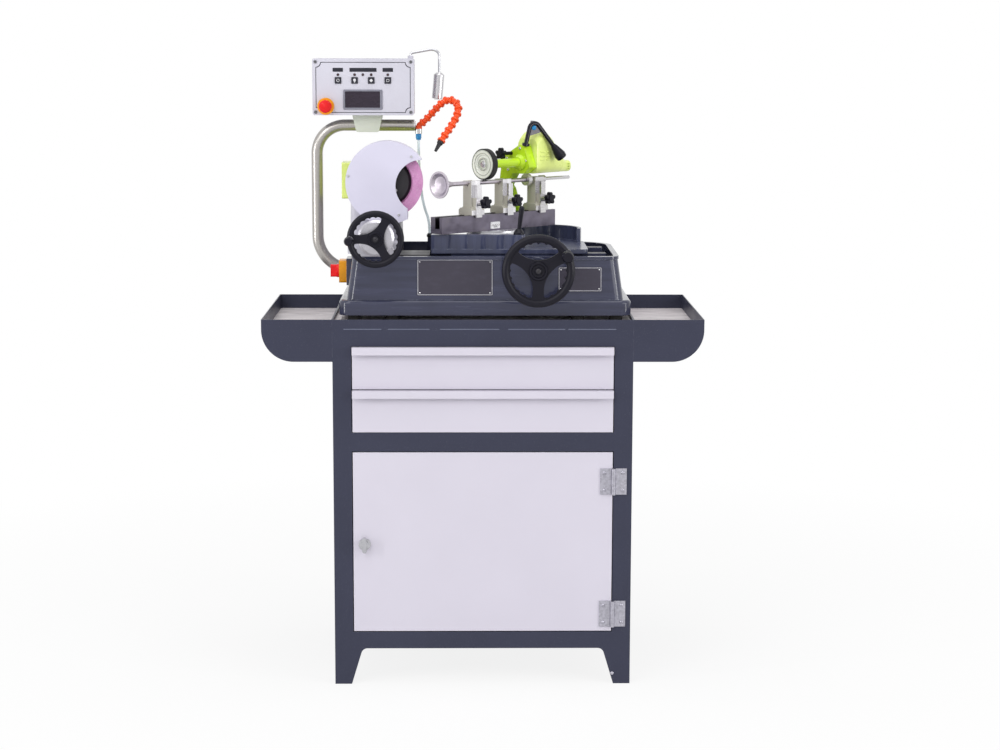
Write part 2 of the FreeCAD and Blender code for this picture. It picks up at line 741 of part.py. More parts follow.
def base_shell():
    """Flange, drafted wall with a beaded rim, and the trough inside."""
    flange = Part.Face(base_outline(FLANGE_WIDTH, FLANGE_DEPTH, 0, BASE_BOTTOM)).extrude(vec(0, 0, FLANGE_HEIGHT))
    top_edges = [e for e in flange.Edges if e.BoundBox.ZMin > WALL_FOOT_Z - 0.1]
    flange = flange.makeFillet(FLANGE_ROUND, top_edges)
    wall = drafted_block(base_corners(WALL_FOOT_WIDTH, WALL_FOOT_DEPTH, 0, WALL_FOOT_Z),
                         base_corners(RIM_WIDTH, RIM_DEPTH, 0, BASE_TOP), 0)
    bead = Part.Face(base_outline(RIM_WIDTH, RIM_DEPTH, -RIM_BEAD, BASE_TOP - RIM_BEAD_HEIGHT))
    bead = bead.extrude(vec(0, 0, RIM_BEAD_HEIGHT))
    return fuse(flange, wall, bead)


def trough_hollow():
    low = base_corners(WALL_FOOT_WIDTH, WALL_FOOT_DEPTH, WALL, TROUGH_Z)
    high = base_corners(RIM_WIDTH, RIM_DEPTH, WALL, BASE_TOP + 1)
    return drafted_block(low, high, WALL)


def base_casting():
    """Cast trough with the beds of both slides, the shaft boss, the tube boss and the coolant spigot."""
    corners = tube_corners()
    along = (corners[3] - corners[2]).normalize()
    boss_end = corners[3] - along * 15
    tube_boss = rod(boss_end, corners[3], TUBE_BOSS_RADIUS)
    wall_front = BASE_Y - WALL_FOOT_DEPTH / 2
    shaft_boss = rod(vec(PINION_X, wall_front - 12, PINION_Z), vec(PINION_X, rim_front() + WALL + 6, PINION_Z), 24)
    pad = box(SWITCH_PAD_X, BASE_X - RIM_WIDTH / 2 + WALL, SWITCH_Y - 0.6 * SWITCH_SIZE, SWITCH_Y + 0.6 * SWITCH_SIZE,
              SWITCH_Z - 0.6 * SWITCH_SIZE, SWITCH_Z + 0.6 * SWITCH_SIZE)
    seat = box(BASE_X - RIM_WIDTH / 2 + FRONT_CORNER, FEED_X + FEED_BRACKET_WIDTH / 2 + 5, rim_front() + WALL / 2,
               FEED_BRACKET_BACK + 3, TROUGH_Z, BASE_TOP)
    bed_plan = flat(rectangle(BED_LEFT, BED_RIGHT, BED_FRONT, BED_BACK), TROUGH_Z)
    beds = [prism(bed_plan, [0, 0, 0, REAR_CORNER], vec(0, 0, BED_Z - TROUGH_Z))]
    for y in (WAY_FRONT_Y, WAY_BACK_Y):
        beds.append(box(WAY_LEFT, WAY_RIGHT, y - WAY_WIDTH / 2, y + WAY_WIDTH / 2, TROUGH_Z, WAY_Z))
    end = from_seat(FEED_TUBE_ROUTE[-1])
    root = vec(end.x, end.y, BED_Z - 1)
    spigot = rod(root, end, SPIGOT_RADIUS)
    collar = rod(root, root + Z_AXIS * 15, 2 * SPIGOT_RADIUS)
    shell = fuse(base_shell(), tube_boss, shaft_boss, pad)
    shell = cut(shell, trough_hollow())
    casting = fuse(shell, seat, *beds, spigot, collar)
    tube_hole = rod(corners[2], corners[3], TUBE_RADIUS + FIT)
    shaft_hole = rod(vec(PINION_X, wall_front - 40, PINION_Z), vec(PINION_X, 0, PINION_Z), PINION_SHAFT_RADIUS + FIT)
    pinion_room = box(PINION_X - 24, PINION_X + 24, PINION_FRONT - 8, PINION_FRONT + PINION_WIDTH + 8,
                      TROUGH_Z + 10, BASE_TOP + 1)
    return cut(casting, tube_hole, shaft_hole, pinion_room)


def base_foot(x, y):
    return rod(vec(x, y, TRAY_FLOOR_Z), vec(x, y, BASE_BOTTOM), BASE_FOOT_RADIUS)


def base_feet():
    """Pads that hold the trough clear of the stand's top tray."""
    front = BASE_Y - FLANGE_DEPTH / 2 + BASE_FOOT_INSET
    back = BASE_Y + FLANGE_DEPTH / 2 - BASE_FOOT_INSET
    feet = []
    places = ((BASE_FOOT_SPREAD, front), (BASE_FOOT_INNER_SPREAD, front), (BASE_FOOT_INNER_SPREAD, back))
    for spread, y in places:
        feet += [base_foot(BASE_X - spread, y), base_foot(BASE_X + spread, y)]
    return Part.makeCompound(feet)


def grind_ways():
    """Machined deck with the raised guide of the grinding head's slide."""
    left = BASE_X - RIM_WIDTH / 2 + WALL + 8
    front = FEED_BRACKET_BACK + 3
    right = SADDLE_LEFT + SADDLE_WIDTH
    back = BED_BACK - 14
    deck = prism(flat(rectangle(left, right, front, back), BED_Z), [2, 2, 2, 0.8 * REAR_CORNER],
                 vec(0, 0, DECK_HEIGHT))
    apron = box(left, BED_RIGHT - 6, front, APRON_BACK, BED_Z, DECK_Z)
    guide = box(FEED_X - GUIDE_WIDTH / 2, FEED_X + GUIDE_WIDTH / 2, front, back - 0.2 * REAR_CORNER, BED_Z,
                DECK_Z + GUIDE_HEIGHT)
    return fuse(deck, apron, guide)


def grind_saddle():
    """Slide with the nut lug in front and the column that cradles the motor."""
    low = DECK_Z + GAP
    top = low + SADDLE_HEIGHT
    left = SADDLE_LEFT
    right = SADDLE_LEFT + SADDLE_WIDTH
    slab = prism(flat(rectangle(left, right, SADDLE_FRONT, SADDLE_BACK), low), 10, vec(0, 0, SADDLE_HEIGHT))
    groove_half = GUIDE_WIDTH / 2 + GAP
    groove = box(FEED_X - groove_half, FEED_X + groove_half, SADDLE_FRONT - 1, SADDLE_BACK + 1,
                 low - 1, DECK_Z + GUIDE_HEIGHT + GAP)
    lug_half = NUT_LUG_WIDTH / 2
    lug_top = FEED_Z + lug_half
    lug_shape = upright(((FEED_X - lug_half, top - 1), (FEED_X + lug_half, top - 1),
                         (FEED_X + lug_half, lug_top), (FEED_X - lug_half, lug_top)), SADDLE_FRONT)
    lug = prism(lug_shape, [0, 0, lug_half - 2, lug_half - 2], vec(0, NUT_LUG_LENGTH, 0))
    foot = outline(flat(rectangle(left, right, COLUMN_FRONT, COLUMN_BACK), top - 1), 14)
    head = outline(flat(rectangle(left + COLUMN_INSET, right - COLUMN_INSET, COLUMN_FRONT, COLUMN_BACK), COLUMN_TOP),
                   14)
    column = Part.makeLoft([foot, head], True, True)
    screw = rod(vec(FEED_X, SADDLE_FRONT - 1, FEED_Z), vec(FEED_X, COLUMN_FRONT + 40, FEED_Z), FEED_SCREW_RADIUS + FIT)
    cradle = rod(vec(GRIND_X, COLUMN_FRONT - 1, SPINDLE_Z), vec(GRIND_X, COLUMN_BACK + 1, SPINDLE_Z),
                 MOTOR_RADIUS + GAP)
    return cut(fuse(slab, lug, column), groove, screw, cradle)


def guard_profile(inset):
    """Face-on outline of the wheel guard: a disc with a squared skirt."""
    y = GUARD_FRONT_Y
    radius = GUARD_RADIUS - inset
    disc = rod(vec(GRIND_X, y, SPINDLE_Z), vec(GRIND_X, y + GUARD_DEPTH, SPINDLE_Z), radius)
    skirt = box(GRIND_X - radius * 0.62, GRIND_X + GUARD_SKIRT_HALF - inset, y, y + GUARD_DEPTH,
                GUARD_SKIRT_Z + inset, SPINDLE_Z)
    return fuse(disc, skirt)


def wheel_guard():
    """Sheet guard round the wheel, with a round bite that bares the wheel's face."""
    back = GUARD_FRONT_Y + GUARD_DEPTH
    hollow = guard_profile(GUARD_SHEET)
    slab = box(GRIND_X - 2 * GUARD_RADIUS, GRIND_X + 2 * GUARD_RADIUS, GUARD_FRONT_Y + GUARD_SHEET,
               back - GUARD_SHEET, GUARD_SKIRT_Z - 1, SPINDLE_Z + 2 * GUARD_RADIUS)
    bite = rod(vec(BITE_X, GUARD_FRONT_Y - 1, BITE_Z), vec(BITE_X, back + 1, BITE_Z), BITE_RADIUS)
    trim = box(GRIND_X + GUARD_SKIRT_HALF, GRIND_X + 2 * GUARD_RADIUS, GUARD_FRONT_Y - 1, back + 1,
               GUARD_SKIRT_Z - GUARD_RADIUS, BITE_Z)
    spindle_hole = rod(vec(GRIND_X, GUARD_FRONT_Y + 10, SPINDLE_Z), vec(GRIND_X, back + 1, SPINDLE_Z),
                       2 * SPINDLE_RADIUS)
    return cut(guard_profile(0), hollow.common(slab), bite, trim, spindle_hole)


def motor_front():
    return GUARD_FRONT_Y + GUARD_DEPTH


def grind_motor():
    """Flanged motor with cooling fins, a fan cowl and a terminal box on its left."""
    front = motor_front()
    core = MOTOR_RADIUS - FIN_HEIGHT
    cowl = front + 0.72 * MOTOR_LENGTH
    origin = vec(GRIND_X, front, SPINDLE_Z)
    profile = ((0, 0), (MOTOR_RADIUS, 0), (MOTOR_RADIUS, MOTOR_FLANGE), (core, MOTOR_FLANGE),
               (core, cowl - front), (MOTOR_RADIUS, cowl - front), (MOTOR_RADIUS, MOTOR_LENGTH - 10),
               (MOTOR_RADIUS - 10, MOTOR_LENGTH), (0, MOTOR_LENGTH))
    body = turned(profile, origin, Y_AXIS)
    fin = box(GRIND_X - 1.5, GRIND_X + 1.5, front + MOTOR_FLANGE, cowl, SPINDLE_Z + core - 2, SPINDLE_Z + MOTOR_RADIUS)
    fins = polar(fin, MOTOR_FINS, origin, Y_AXIS)
    wide, long, tall = TERMINAL_BOX
    box_x = GRIND_X - core - wide
    box_y = front + MOTOR_FLANGE + 14
    terminal = prism(sideways(((box_y, SPINDLE_Z - tall / 2), (box_y + long, SPINDLE_Z - tall / 2),
                               (box_y + long, SPINDLE_Z + tall / 2), (box_y, SPINDLE_Z + tall / 2)), box_x), 5,
                     vec(wide + 12, 0, 0))
    bore = rod(origin - Y_AXIS, origin + Y_AXIS * 40, SPINDLE_RADIUS + FIT)
    return cut(fuse(body, *fins, terminal), bore)


def grinding_wheel():
    """Recessed wheel that grinds on its flat front ring."""
    origin = vec(GRIND_X, WHEEL_FACE_Y, SPINDLE_Z)
    profile = ((SPINDLE_RADIUS, WHEEL_RECESS_DEPTH), (WHEEL_RECESS_RADIUS, WHEEL_RECESS_DEPTH),
               (WHEEL_RECESS_RADIUS, 0), (WHEEL_RADIUS, 0), (WHEEL_RADIUS, WHEEL_WIDTH),
               (SPINDLE_RADIUS, WHEEL_WIDTH))
    return turned(profile, origin, Y_AXIS)


def spindle():
    """Motor shaft with the wheel's back collar, front flange and nut."""
    back = motor_front() + 36
    recess = WHEEL_FACE_Y + WHEEL_RECESS_DEPTH
    wheel_back = WHEEL_FACE_Y + WHEEL_WIDTH
    shaft = rod(vec(GRIND_X, recess - 9, SPINDLE_Z), vec(GRIND_X, back, SPINDLE_Z), SPINDLE_RADIUS)
    flange = turned(((0, 0), (WHEEL_FLANGE_RADIUS - 6, 0), (WHEEL_FLANGE_RADIUS, 5), (0, 5)),
                    vec(GRIND_X, recess - 5, SPINDLE_Z), Y_AXIS)
    collar = rod(vec(GRIND_X, wheel_back, SPINDLE_Z), vec(GRIND_X, motor_front() - GUARD_SHEET - GAP, SPINDLE_Z),
                 1.7 * SPINDLE_RADIUS)
    nut_points = []
    for i in range(6):
        turn = math.radians(60 * i)
        nut_points.append((GRIND_X + 15 * math.cos(turn), SPINDLE_Z + 15 * math.sin(turn)))
    nut = prism(upright(nut_points, recess - 5), 0, vec(0, -6, 0))
    return fuse(shaft, flange, collar, nut)


def feed_bracket():
    """Bearing of the feed screw, standing on the trough's front rim."""
    half = FEED_BRACKET_WIDTH / 2
    depth = FEED_BRACKET_BACK - FEED_BRACKET_FRONT
    foot_front = rim_front() - 4
    shape = upright(((FEED_X - half, BASE_TOP), (FEED_X + half, BASE_TOP), (FEED_X + half, BASE_TOP + 10),
                     (FEED_X + FEED_BOSS_RADIUS - 8, FEED_Z), (FEED_X - FEED_BOSS_RADIUS + 8, FEED_Z),
                     (FEED_X - half, BASE_TOP + 10)), foot_front)
    web = prism(shape, [0, 0, 3, 0, 0, 3], vec(0, FEED_BRACKET_BACK - foot_front, 0))
    boss = rod(vec(FEED_X, FEED_BRACKET_FRONT, FEED_Z), vec(FEED_X, FEED_BRACKET_FRONT + depth, FEED_Z),
               FEED_BOSS_RADIUS)
    bore = rod(vec(FEED_X, FEED_BRACKET_FRONT - 1, FEED_Z), vec(FEED_X, FEED_BRACKET_BACK + 1, FEED_Z),
               FEED_SCREW_RADIUS + FIT)
    return cut(fuse(web, boss), bore)


def hub_length(radius):
    """Hub length of a handwheel, in step with its size."""
    return 0.2 * radius + 14


def handwheel_window(radius, low, high):
    """Gap between two spokes: finger hollows along the rim, one sweeping curve round the hub."""
    inner = radius * (1 - 2 * RIM_SHARE)
    crest = inner - 0.4 * RIM_SHARE * radius
    step = math.radians(2 * WINDOW_HALF_ANGLE / FINGER_HOLLOWS)
    start = -math.radians(WINDOW_HALF_ANGLE)
    edges = []
    for i in range(FINGER_HOLLOWS):
        first = start + step * i
        ring = ((crest, first), (inner, first + step / 2), (crest, first + step))
        points = [vec(r * math.cos(turn), low, r * math.sin(turn)) for r, turn in ring]
        edges.append(Part.Arc(*points).toShape())
    hub_side = vec(1.1 * HUB_SHARE * radius, low, 0)
    begin = edges[0].Vertexes[0].Point
    end = edges[-1].Vertexes[-1].Point
    edges.append(Part.Arc(end, hub_side, begin).toShape())
    return Part.Face(Part.Wire(edges)).extrude(Y_AXIS * (high - low))


def handwheel(radius, origin, spoke_angle, grip_angle, bore):
    """Three-spoke handwheel facing the front, with a dished hub and a boss for its grip."""
    rim = RIM_SHARE * radius
    ring = radius - rim
    hub = hub_length(radius)
    plane = rim - hub
    section = []
    for i in range(RIM_SIDES):
        turn = 2 * math.pi * (i + 0.5) / RIM_SIDES
        section.append((ring + rim * math.cos(turn), plane + rim * math.sin(turn)))
    hoop = turned(section, origin, Y_AXIS)
    web = rod(origin + Y_AXIS * (plane - rim / 2), origin + Y_AXIS * (plane + rim / 2), ring)
    window = handwheel_window(radius, plane - rim, plane + rim)
    window.translate(origin)
    window.rotate(origin, Y_AXIS, -spoke_angle - 60)
    web = cut(web, *polar(window, 3, origin, Y_AXIS))
    edge = HUB_SHARE * radius
    dish = ((0, 0), (edge, 0), (edge, hub - 5), (0.9 * edge, hub), (0.72 * edge, hub), (0.64 * edge, hub - 3.5),
            (0.4 * edge, hub - 3.5), (0.34 * edge, hub - 1), (0, hub - 1))
    boss = turned(dish, origin, -Y_AXIS)
    grip = grip_point(radius, origin, grip_angle)
    body = fuse(hoop, web, boss, rod(grip, grip + Y_AXIS * (2 * rim), 1.3 * rim))
    shaft_hole = rod(origin + Y_AXIS, origin - Y_AXIS * (hub - 6), bore + FIT)
    return cut(body, shaft_hole, rod(grip - Y_AXIS, grip + Y_AXIS * (2 * rim - 2), GRIP_PIN + FIT))


def grip_point(radius, origin, angle):
    """Front face of a handwheel's grip boss."""
    rim = RIM_SHARE * radius
    ring = radius - rim
    turn = math.radians(angle)
    return origin + vec(ring * math.cos(turn), rim - hub_length(radius) - rim, ring * math.sin(turn))


def handwheel_grip(radius, origin, angle):
    """Turning grip with a pin, a collar and a waisted handle."""
    seat = grip_point(radius, origin, angle) - Y_AXIS * GAP
    rim = RIM_SHARE * radius
    pin = rod(seat, seat + Y_AXIS * (2 * rim - 4), GRIP_PIN)
    size = 1.3 * rim
    handle = turned(((0, 0), (0.85 * size, 0), (0.85 * size, GRIP_COLLAR), (0.65 * size, GRIP_COLLAR + 3),
                     (size, 0.55 * GRIP_LENGTH), (1.15 * size, GRIP_LENGTH - 10), (0.9 * size, GRIP_LENGTH),
                     (0, GRIP_LENGTH)), seat, -Y_AXIS)
    return fuse(pin, handle)


FEED_WHEEL = vec(FEED_X, FEED_BRACKET_FRONT - GAP - DIAL_WIDTH, FEED_Z)
CARRIAGE_WHEEL = vec(PINION_X, RIGHT_WHEEL_Y, PINION_Z)
LEFT_GRIP_ANGLE = 180.0
RIGHT_GRIP_ANGLE = 30.0


def feed_screw():
    """Feed screw with its graduated dial; the handwheel seats on its front end."""
    dial_front = FEED_WHEEL.y
    shaft = rod(vec(FEED_X, dial_front - hub_length(LEFT_WHEEL_RADIUS) + 8, FEED_Z),
                vec(FEED_X, FEED_SCREW_END, FEED_Z), FEED_SCREW_RADIUS)
    dial = turned(((0, 0), (DIAL_RADIUS - 5, 0), (DIAL_RADIUS, 4), (DIAL_RADIUS, DIAL_WIDTH), (0, DIAL_WIDTH)),
                  FEED_WHEEL, Y_AXIS)
    return fuse(shaft, dial)


def gear_profile(pitch_radius, teeth, addendum, dedendum):
    """Corner points of a straight-sided gear with a gap at the top."""
    points = []
    step = 2 * math.pi / teeth
    tip = pitch_radius + addendum
    root = pitch_radius - dedendum
    for i in range(teeth):
        middle = math.pi / 2 + step * (i + 0.5)
        for share, radius in ((-0.25, root), (-0.1, tip), (0.1, tip), (0.25, root)):
            turn = middle + share * step
            points.append((radius * math.cos(turn), radius * math.sin(turn)))
    return points


def pinion_shaft():
    """Cross shaft behind the right handwheel, with the pinion under the rack."""
    shaft = rod(vec(PINION_X, RIGHT_WHEEL_Y - hub_length(RIGHT_WHEEL_RADIUS) + 8, PINION_Z),
                vec(PINION_X, PINION_FRONT + PINION_WIDTH, PINION_Z), PINION_SHAFT_RADIUS)
    corners = gear_profile(PITCH_RADIUS, PINION_TEETH, 0.8 * PINION_MODULE, 1.2 * PINION_MODULE)
    gear = prism(upright([(PINION_X + x, PINION_Z + z) for x, z in corners], PINION_FRONT), 0,
                 vec(0, PINION_WIDTH, 0))
    wall_front = BASE_Y - WALL_FOOT_DEPTH / 2 - 12
    collar = rod(vec(PINION_X, RIGHT_WHEEL_Y, PINION_Z), vec(PINION_X, wall_front - GAP, PINION_Z),
                 1.6 * PINION_SHAFT_RADIUS)
    return fuse(shaft, gear, collar)


def rack_teeth():
    """Rack under the carriage, a tooth standing over the pinion's gap."""
    pitch = math.pi * PINION_MODULE
    line = PINION_Z + PITCH_RADIUS
    tip = line - 0.8 * PINION_MODULE
    root = line + 1.2 * PINION_MODULE
    first = PINION_X - pitch * (RACK_TEETH // 2)
    points = [(first - pitch, CARRIAGE_Z + 1), (first - pitch, root)]
    for i in range(RACK_TEETH):
        middle = first + pitch * i
        points += [(middle - 0.25 * pitch, root), (middle - 0.1 * pitch, tip),
                   (middle + 0.1 * pitch, tip), (middle + 0.25 * pitch, root)]
    last = first + pitch * RACK_TEETH
    points += [(last, root), (last, CARRIAGE_Z + 1)]
    return prism(upright(points, PINION_FRONT + 3), 0, vec(0, PINION_WIDTH - 6, 0))


def scalloped_wall():
    """Front wall of the carriage with a row of round flutes."""
    pitch = (SCALLOP_RIGHT - CARRIAGE_LEFT) / SCALLOP_COUNT
    edges = []
    for i in range(SCALLOP_COUNT):
        left = CARRIAGE_LEFT + pitch * i
        start = vec(left, CARRIAGE_FRONT + SCALLOP_DEPTH, CARRIAGE_TOP - 1)
        end = start + X_AXIS * pitch
        middle = vec(left + pitch / 2, CARRIAGE_FRONT, CARRIAGE_TOP - 1)
        edges.append(Part.Arc(start, middle, end).toShape())
    back = CARRIAGE_FRONT + SCALLOP_DEPTH + SCALLOP_WALL
    corners = flat(((SCALLOP_RIGHT, CARRIAGE_FRONT + SCALLOP_DEPTH), (SCALLOP_RIGHT, back),
                    (CARRIAGE_LEFT, back), (CARRIAGE_LEFT, CARRIAGE_FRONT + SCALLOP_DEPTH)), CARRIAGE_TOP - 1)
    for start, end in zip(corners, corners[1:]):
        edges.append(Part.makeLine(start, end))
    return Part.Face(Part.Wire(edges)).extrude(vec(0, 0, SPLASH_HEIGHT + 1))


def splash_arc():
    """Curved wall round the right lobe of the carriage, open towards the front."""
    ring = rod(vec(LOBE_X, LOBE_Y, CARRIAGE_TOP - 1), vec(LOBE_X, LOBE_Y, WALL_TOP), LOBE_RADIUS)
    hole = rod(vec(LOBE_X, LOBE_Y, CARRIAGE_TOP - 2), vec(LOBE_X, LOBE_Y, WALL_TOP + 1), LOBE_RADIUS - SPLASH_WALL)
    reach = 2 * LOBE_RADIUS
    keep = box(LOBE_X - reach, LOBE_X + reach, LOBE_Y - 0.25 * LOBE_RADIUS, LOBE_Y + reach,
               CARRIAGE_TOP - 1, WALL_TOP)
    left = box(LOBE_X - reach, LOBE_X - 0.5 * LOBE_RADIUS, LOBE_Y - reach, LOBE_Y + 0.5 * LOBE_RADIUS,
               CARRIAGE_TOP - 2, WALL_TOP + 1)
    return cut(ring.common(keep), hole, left)


def carriage():
    """Cross slide with its rack, gibs, scalloped front wall and curved splash wall."""
    plate = prism(flat(rectangle(CARRIAGE_LEFT, CARRIAGE_RIGHT, CARRIAGE_FRONT, CARRIAGE_BACK), CARRIAGE_Z),
                  [4, 14, 14, 14], vec(0, 0, CARRIAGE_THICKNESS))
    lobe = rod(vec(LOBE_X, LOBE_Y, CARRIAGE_Z), vec(LOBE_X, LOBE_Y, CARRIAGE_TOP), LOBE_RADIUS)
    gibs = []
    outer = WAY_WIDTH / 2 + GAP
    for y, side in ((WAY_FRONT_Y, -1), (WAY_BACK_Y, 1)):
        edges = sorted((y + side * outer, y + side * (outer + GIB_WIDTH)))
        gibs.append(box(GIB_LEFT, GIB_RIGHT, *edges, CARRIAGE_Z - GIB_DROP, CARRIAGE_Z + 1))
    lever_y = CARRIAGE_FRONT + SCALLOP_DEPTH + SCALLOP_WALL / 2
    boss = rod(vec(CLAMP_X, lever_y, CARRIAGE_TOP - 1), vec(CLAMP_X, lever_y, WALL_TOP), SCALLOP_WALL)
    body = fuse(plate, lobe, scalloped_wall(), splash_arc(), rack_teeth(), boss, *gibs)
    pivot = rod(vec(SWIVEL_X, SWIVEL_Y, CARRIAGE_TOP - TABLE_PIVOT_DEPTH - GAP), vec(SWIVEL_X, SWIVEL_Y, WALL_TOP),
                TABLE_PIVOT_RADIUS + FIT)
    lever_hole = rod(vec(CLAMP_X, lever_y, CARRIAGE_TOP + 8), vec(CLAMP_X, lever_y, WALL_TOP + 1), 5 + FIT)
    return cut(body, pivot, lever_hole)


def clamp_lever():
    """Slim clamping lever on a conical base."""
    y = CARRIAGE_FRONT + SCALLOP_DEPTH + SCALLOP_WALL / 2
    foot = vec(CLAMP_X, y, WALL_TOP + GAP)
    stud = rod(vec(CLAMP_X, y, CARRIAGE_TOP + 12), foot + Z_AXIS, 5)
    cone = turned(((0, 0), (12, 0), (12, 4), (6, 12), (0, 12)), foot, Z_AXIS)
    lean = vec(0.12, -0.05, 1).normalize()
    arm = Part.makeCone(4, 6, CLAMP_LEVER_LENGTH, foot + Z_AXIS * 6, lean)
    tip = Part.makeSphere(6, foot + Z_AXIS * 6 + lean * CLAMP_LEVER_LENGTH)
    return fuse(stud, cone, arm, tip)


def on_swivel(shape):
    """Carries a piece drawn along X to its place on the turned work head."""
    placed = shape.copy()
    placed.rotate(vec(0, 0, 0), Z_AXIS, WORK_ANGLE)
    placed.translate(vec(SWIVEL_X, SWIVEL_Y, 0))
    return placed


def turntable():
    """Graduated swivel table with its pivot."""
    low = CARRIAGE_TOP + GAP
    profile = ((0, -TABLE_PIVOT_DEPTH), (TABLE_PIVOT_RADIUS, -TABLE_PIVOT_DEPTH), (TABLE_PIVOT_RADIUS, 0),
               (TABLE_RADIUS - 6, 0), (TABLE_RADIUS - 6, 14), (TABLE_RADIUS, 18), (TABLE_RADIUS, RAIL_Z - low),
               (0, RAIL_Z - low))
    return turned(profile, vec(0, 0, low), Z_AXIS)


def work_rail():
    """Slotted rail that carries the stands, with the pivot ears of the drive behind it."""
    half = RAIL_WIDTH / 2
    slot_front = RAIL_SLOT_SHIFT - RAIL_SLOT / 2
    slot_back = RAIL_SLOT_SHIFT + RAIL_SLOT / 2
    floor = RAIL_TOP - RAIL_SLOT_DEPTH
    section = ((-half, RAIL_Z), (half, RAIL_Z), (half, RAIL_TOP), (slot_back, RAIL_TOP), (slot_back, floor),
               (slot_front, floor), (slot_front, RAIL_TOP), (-half, RAIL_TOP))
    bar = prism(sideways(section, RAIL_START), 0, vec(RAIL_END - RAIL_START, 0, 0))
    middle = GEARBOX_START + GEARBOX_LENGTH / 2
    first = middle - EAR_SPAN / 2
    last = middle + EAR_SPAN / 2
    plate = box(first, last, half - 1, half + EAR, RAIL_Z, RAIL_TOP)
    shape = ((half + EAR - 1, RAIL_Z), (half + EAR - 1, RAIL_TOP), (PIVOT_BACK - 2 * PIVOT_RADIUS, PIVOT_Z),
             (PIVOT_BACK, PIVOT_Z + 2 * PIVOT_RADIUS), (PIVOT_BACK + 2 * PIVOT_RADIUS, PIVOT_Z),
             (PIVOT_BACK + 2 * PIVOT_RADIUS, RAIL_TOP - 4))
    rounds = [0, 8, 0, 2 * PIVOT_RADIUS * 0.8, 0, 20]
    ears = [prism(sideways(shape, first), rounds, vec(EAR, 0, 0)),
            prism(sideways(shape, last - EAR), rounds, vec(EAR, 0, 0))]
    pin = rod(vec(first, PIVOT_BACK, PIVOT_Z), vec(last, PIVOT_BACK, PIVOT_Z), PIVOT_RADIUS)
    return on_swivel(fuse(bar, plate, *ears, pin))


def block_body(at, post_top):
    """Stand on the rail: foot with a slot key, post, and the strap that hooks the rail's front edge."""
    foot_half = BLOCK_FOOT / 2
    low = RAIL_TOP + GAP
    half = BLOCK_FOOT_WIDTH / 2
    step = low + BLOCK_FOOT_HEIGHT
    post = BLOCK_POST_WIDTH / 2
    shape = ((-half, low), (half, low), (half, step - 5), (post, step + 3), (post, post_top), (-post, post_top),
             (-post, step + 3), (-half, step - 5))
    foot = prism(sideways(shape, at - foot_half), 0, vec(BLOCK_FOOT, 0, 0))
    trim = box(at - foot_half - 1, at - BLOCK_POST / 2, -half - 1, half + 1, step, post_top + 1)
    other = box(at + BLOCK_POST / 2, at + foot_half + 1, -half - 1, half + 1, step, post_top + 1)
    key_half = RAIL_SLOT / 2 - GAP
    key = box(at - foot_half, at + foot_half, RAIL_SLOT_SHIFT - key_half, RAIL_SLOT_SHIFT + key_half,
              RAIL_TOP - 8, low + 1)
    strap = box(at - 9, at + 9, -half - STRAP, -half + 1, RAIL_TOP - STRAP_DROP, KNOB_Z + 10)
    seat = box(at - 9, at + 9, -half, 0, low + 4, KNOB_Z + 10)
    arm = box(at - ARM_WIDTH / 2, at + ARM_WIDTH / 2, -half - STRAP, -post + 1, KNOB_Z + 9, VALVE_Z - STRAP)
    boss = rod(vec(at, -half, KNOB_Z), vec(at, -half - STRAP - KNOB_BOSS, KNOB_Z), KNOB_BOSS_RADIUS)
    body = fuse(cut(foot, trim, other), key, strap, seat, arm, boss)
    stud = rod(vec(at, -half - STRAP - KNOB_BOSS - 1, KNOB_Z), vec(at, -post + 6, KNOB_Z), KNOB_STUD_RADIUS + FIT)
    return cut(body, stud)


def v_block(at):
    """Stand whose top is notched to hold the valve stem."""
    top = VALVE_Z + BLOCK_RISE
    apex = VALVE_Z - (VALVE_STEM_RADIUS + GAP) * math.sqrt(2)
    open_half = top + 1 - apex
    notch = prism(sideways(((0, apex), (open_half, top + 1), (-open_half, top + 1)), at - BLOCK_FOOT), 0,
                  vec(2 * BLOCK_FOOT, 0, 0))
    return on_swivel(cut(block_body(at, top), notch))


def stop_block():
    """Stand with the adjustable rod that the valve's end bears against."""
    body = block_body(BLOCK_STOP, VALVE_Z + BLOCK_RISE)
    tip = VALVE_FACE + VALVE_LENGTH + GAP
    bar = rod(vec(tip, 0, VALVE_Z), vec(BLOCK_STOP + STOP_ROD_REACH, 0, VALVE_Z), STOP_ROD_RADIUS)
    cup = turned(((0, 0), (STOP_CUP_RADIUS, 0), (STOP_CUP_RADIUS, STOP_CUP - 5), (STOP_CUP_RADIUS - 6, STOP_CUP),
                  (0, STOP_CUP)), vec(tip, 0, VALVE_Z), X_AXIS)
    collar = rod(vec(BLOCK_STOP + BLOCK_POST / 2 - 1, 0, VALVE_Z), vec(BLOCK_STOP + BLOCK_POST, 0, VALVE_Z),
                 2 * STOP_ROD_RADIUS)
    return on_swivel(fuse(body, bar, cup, collar))


def star_knob(at):
    """Five-lobed clamping knob on its stud, in front of a stand."""
    front = -BLOCK_FOOT_WIDTH / 2 - STRAP - KNOB_BOSS - GAP
    depth = 14
    hub = rod(vec(at, front, KNOB_Z), vec(at, front - depth - 2, KNOB_Z), 0.55 * KNOB_RADIUS)
    lobe_at = vec(at, front - 4, KNOB_Z + 0.68 * KNOB_RADIUS)
    lobe = rod(lobe_at, lobe_at - Y_AXIS * (depth - 4), 0.34 * KNOB_RADIUS)
    lobes = polar(lobe, 5, vec(at, 0, KNOB_Z), Y_AXIS)
    disc = rod(vec(at, front - 5, KNOB_Z), vec(at, front - depth + 1, KNOB_Z), 0.7 * KNOB_RADIUS)
    stud = rod(vec(at, front - 1, KNOB_Z), vec(at, -BLOCK_POST_WIDTH / 2 + 5, KNOB_Z), KNOB_STUD_RADIUS)
    return on_swivel(fuse(hub, disc, stud, *lobes))


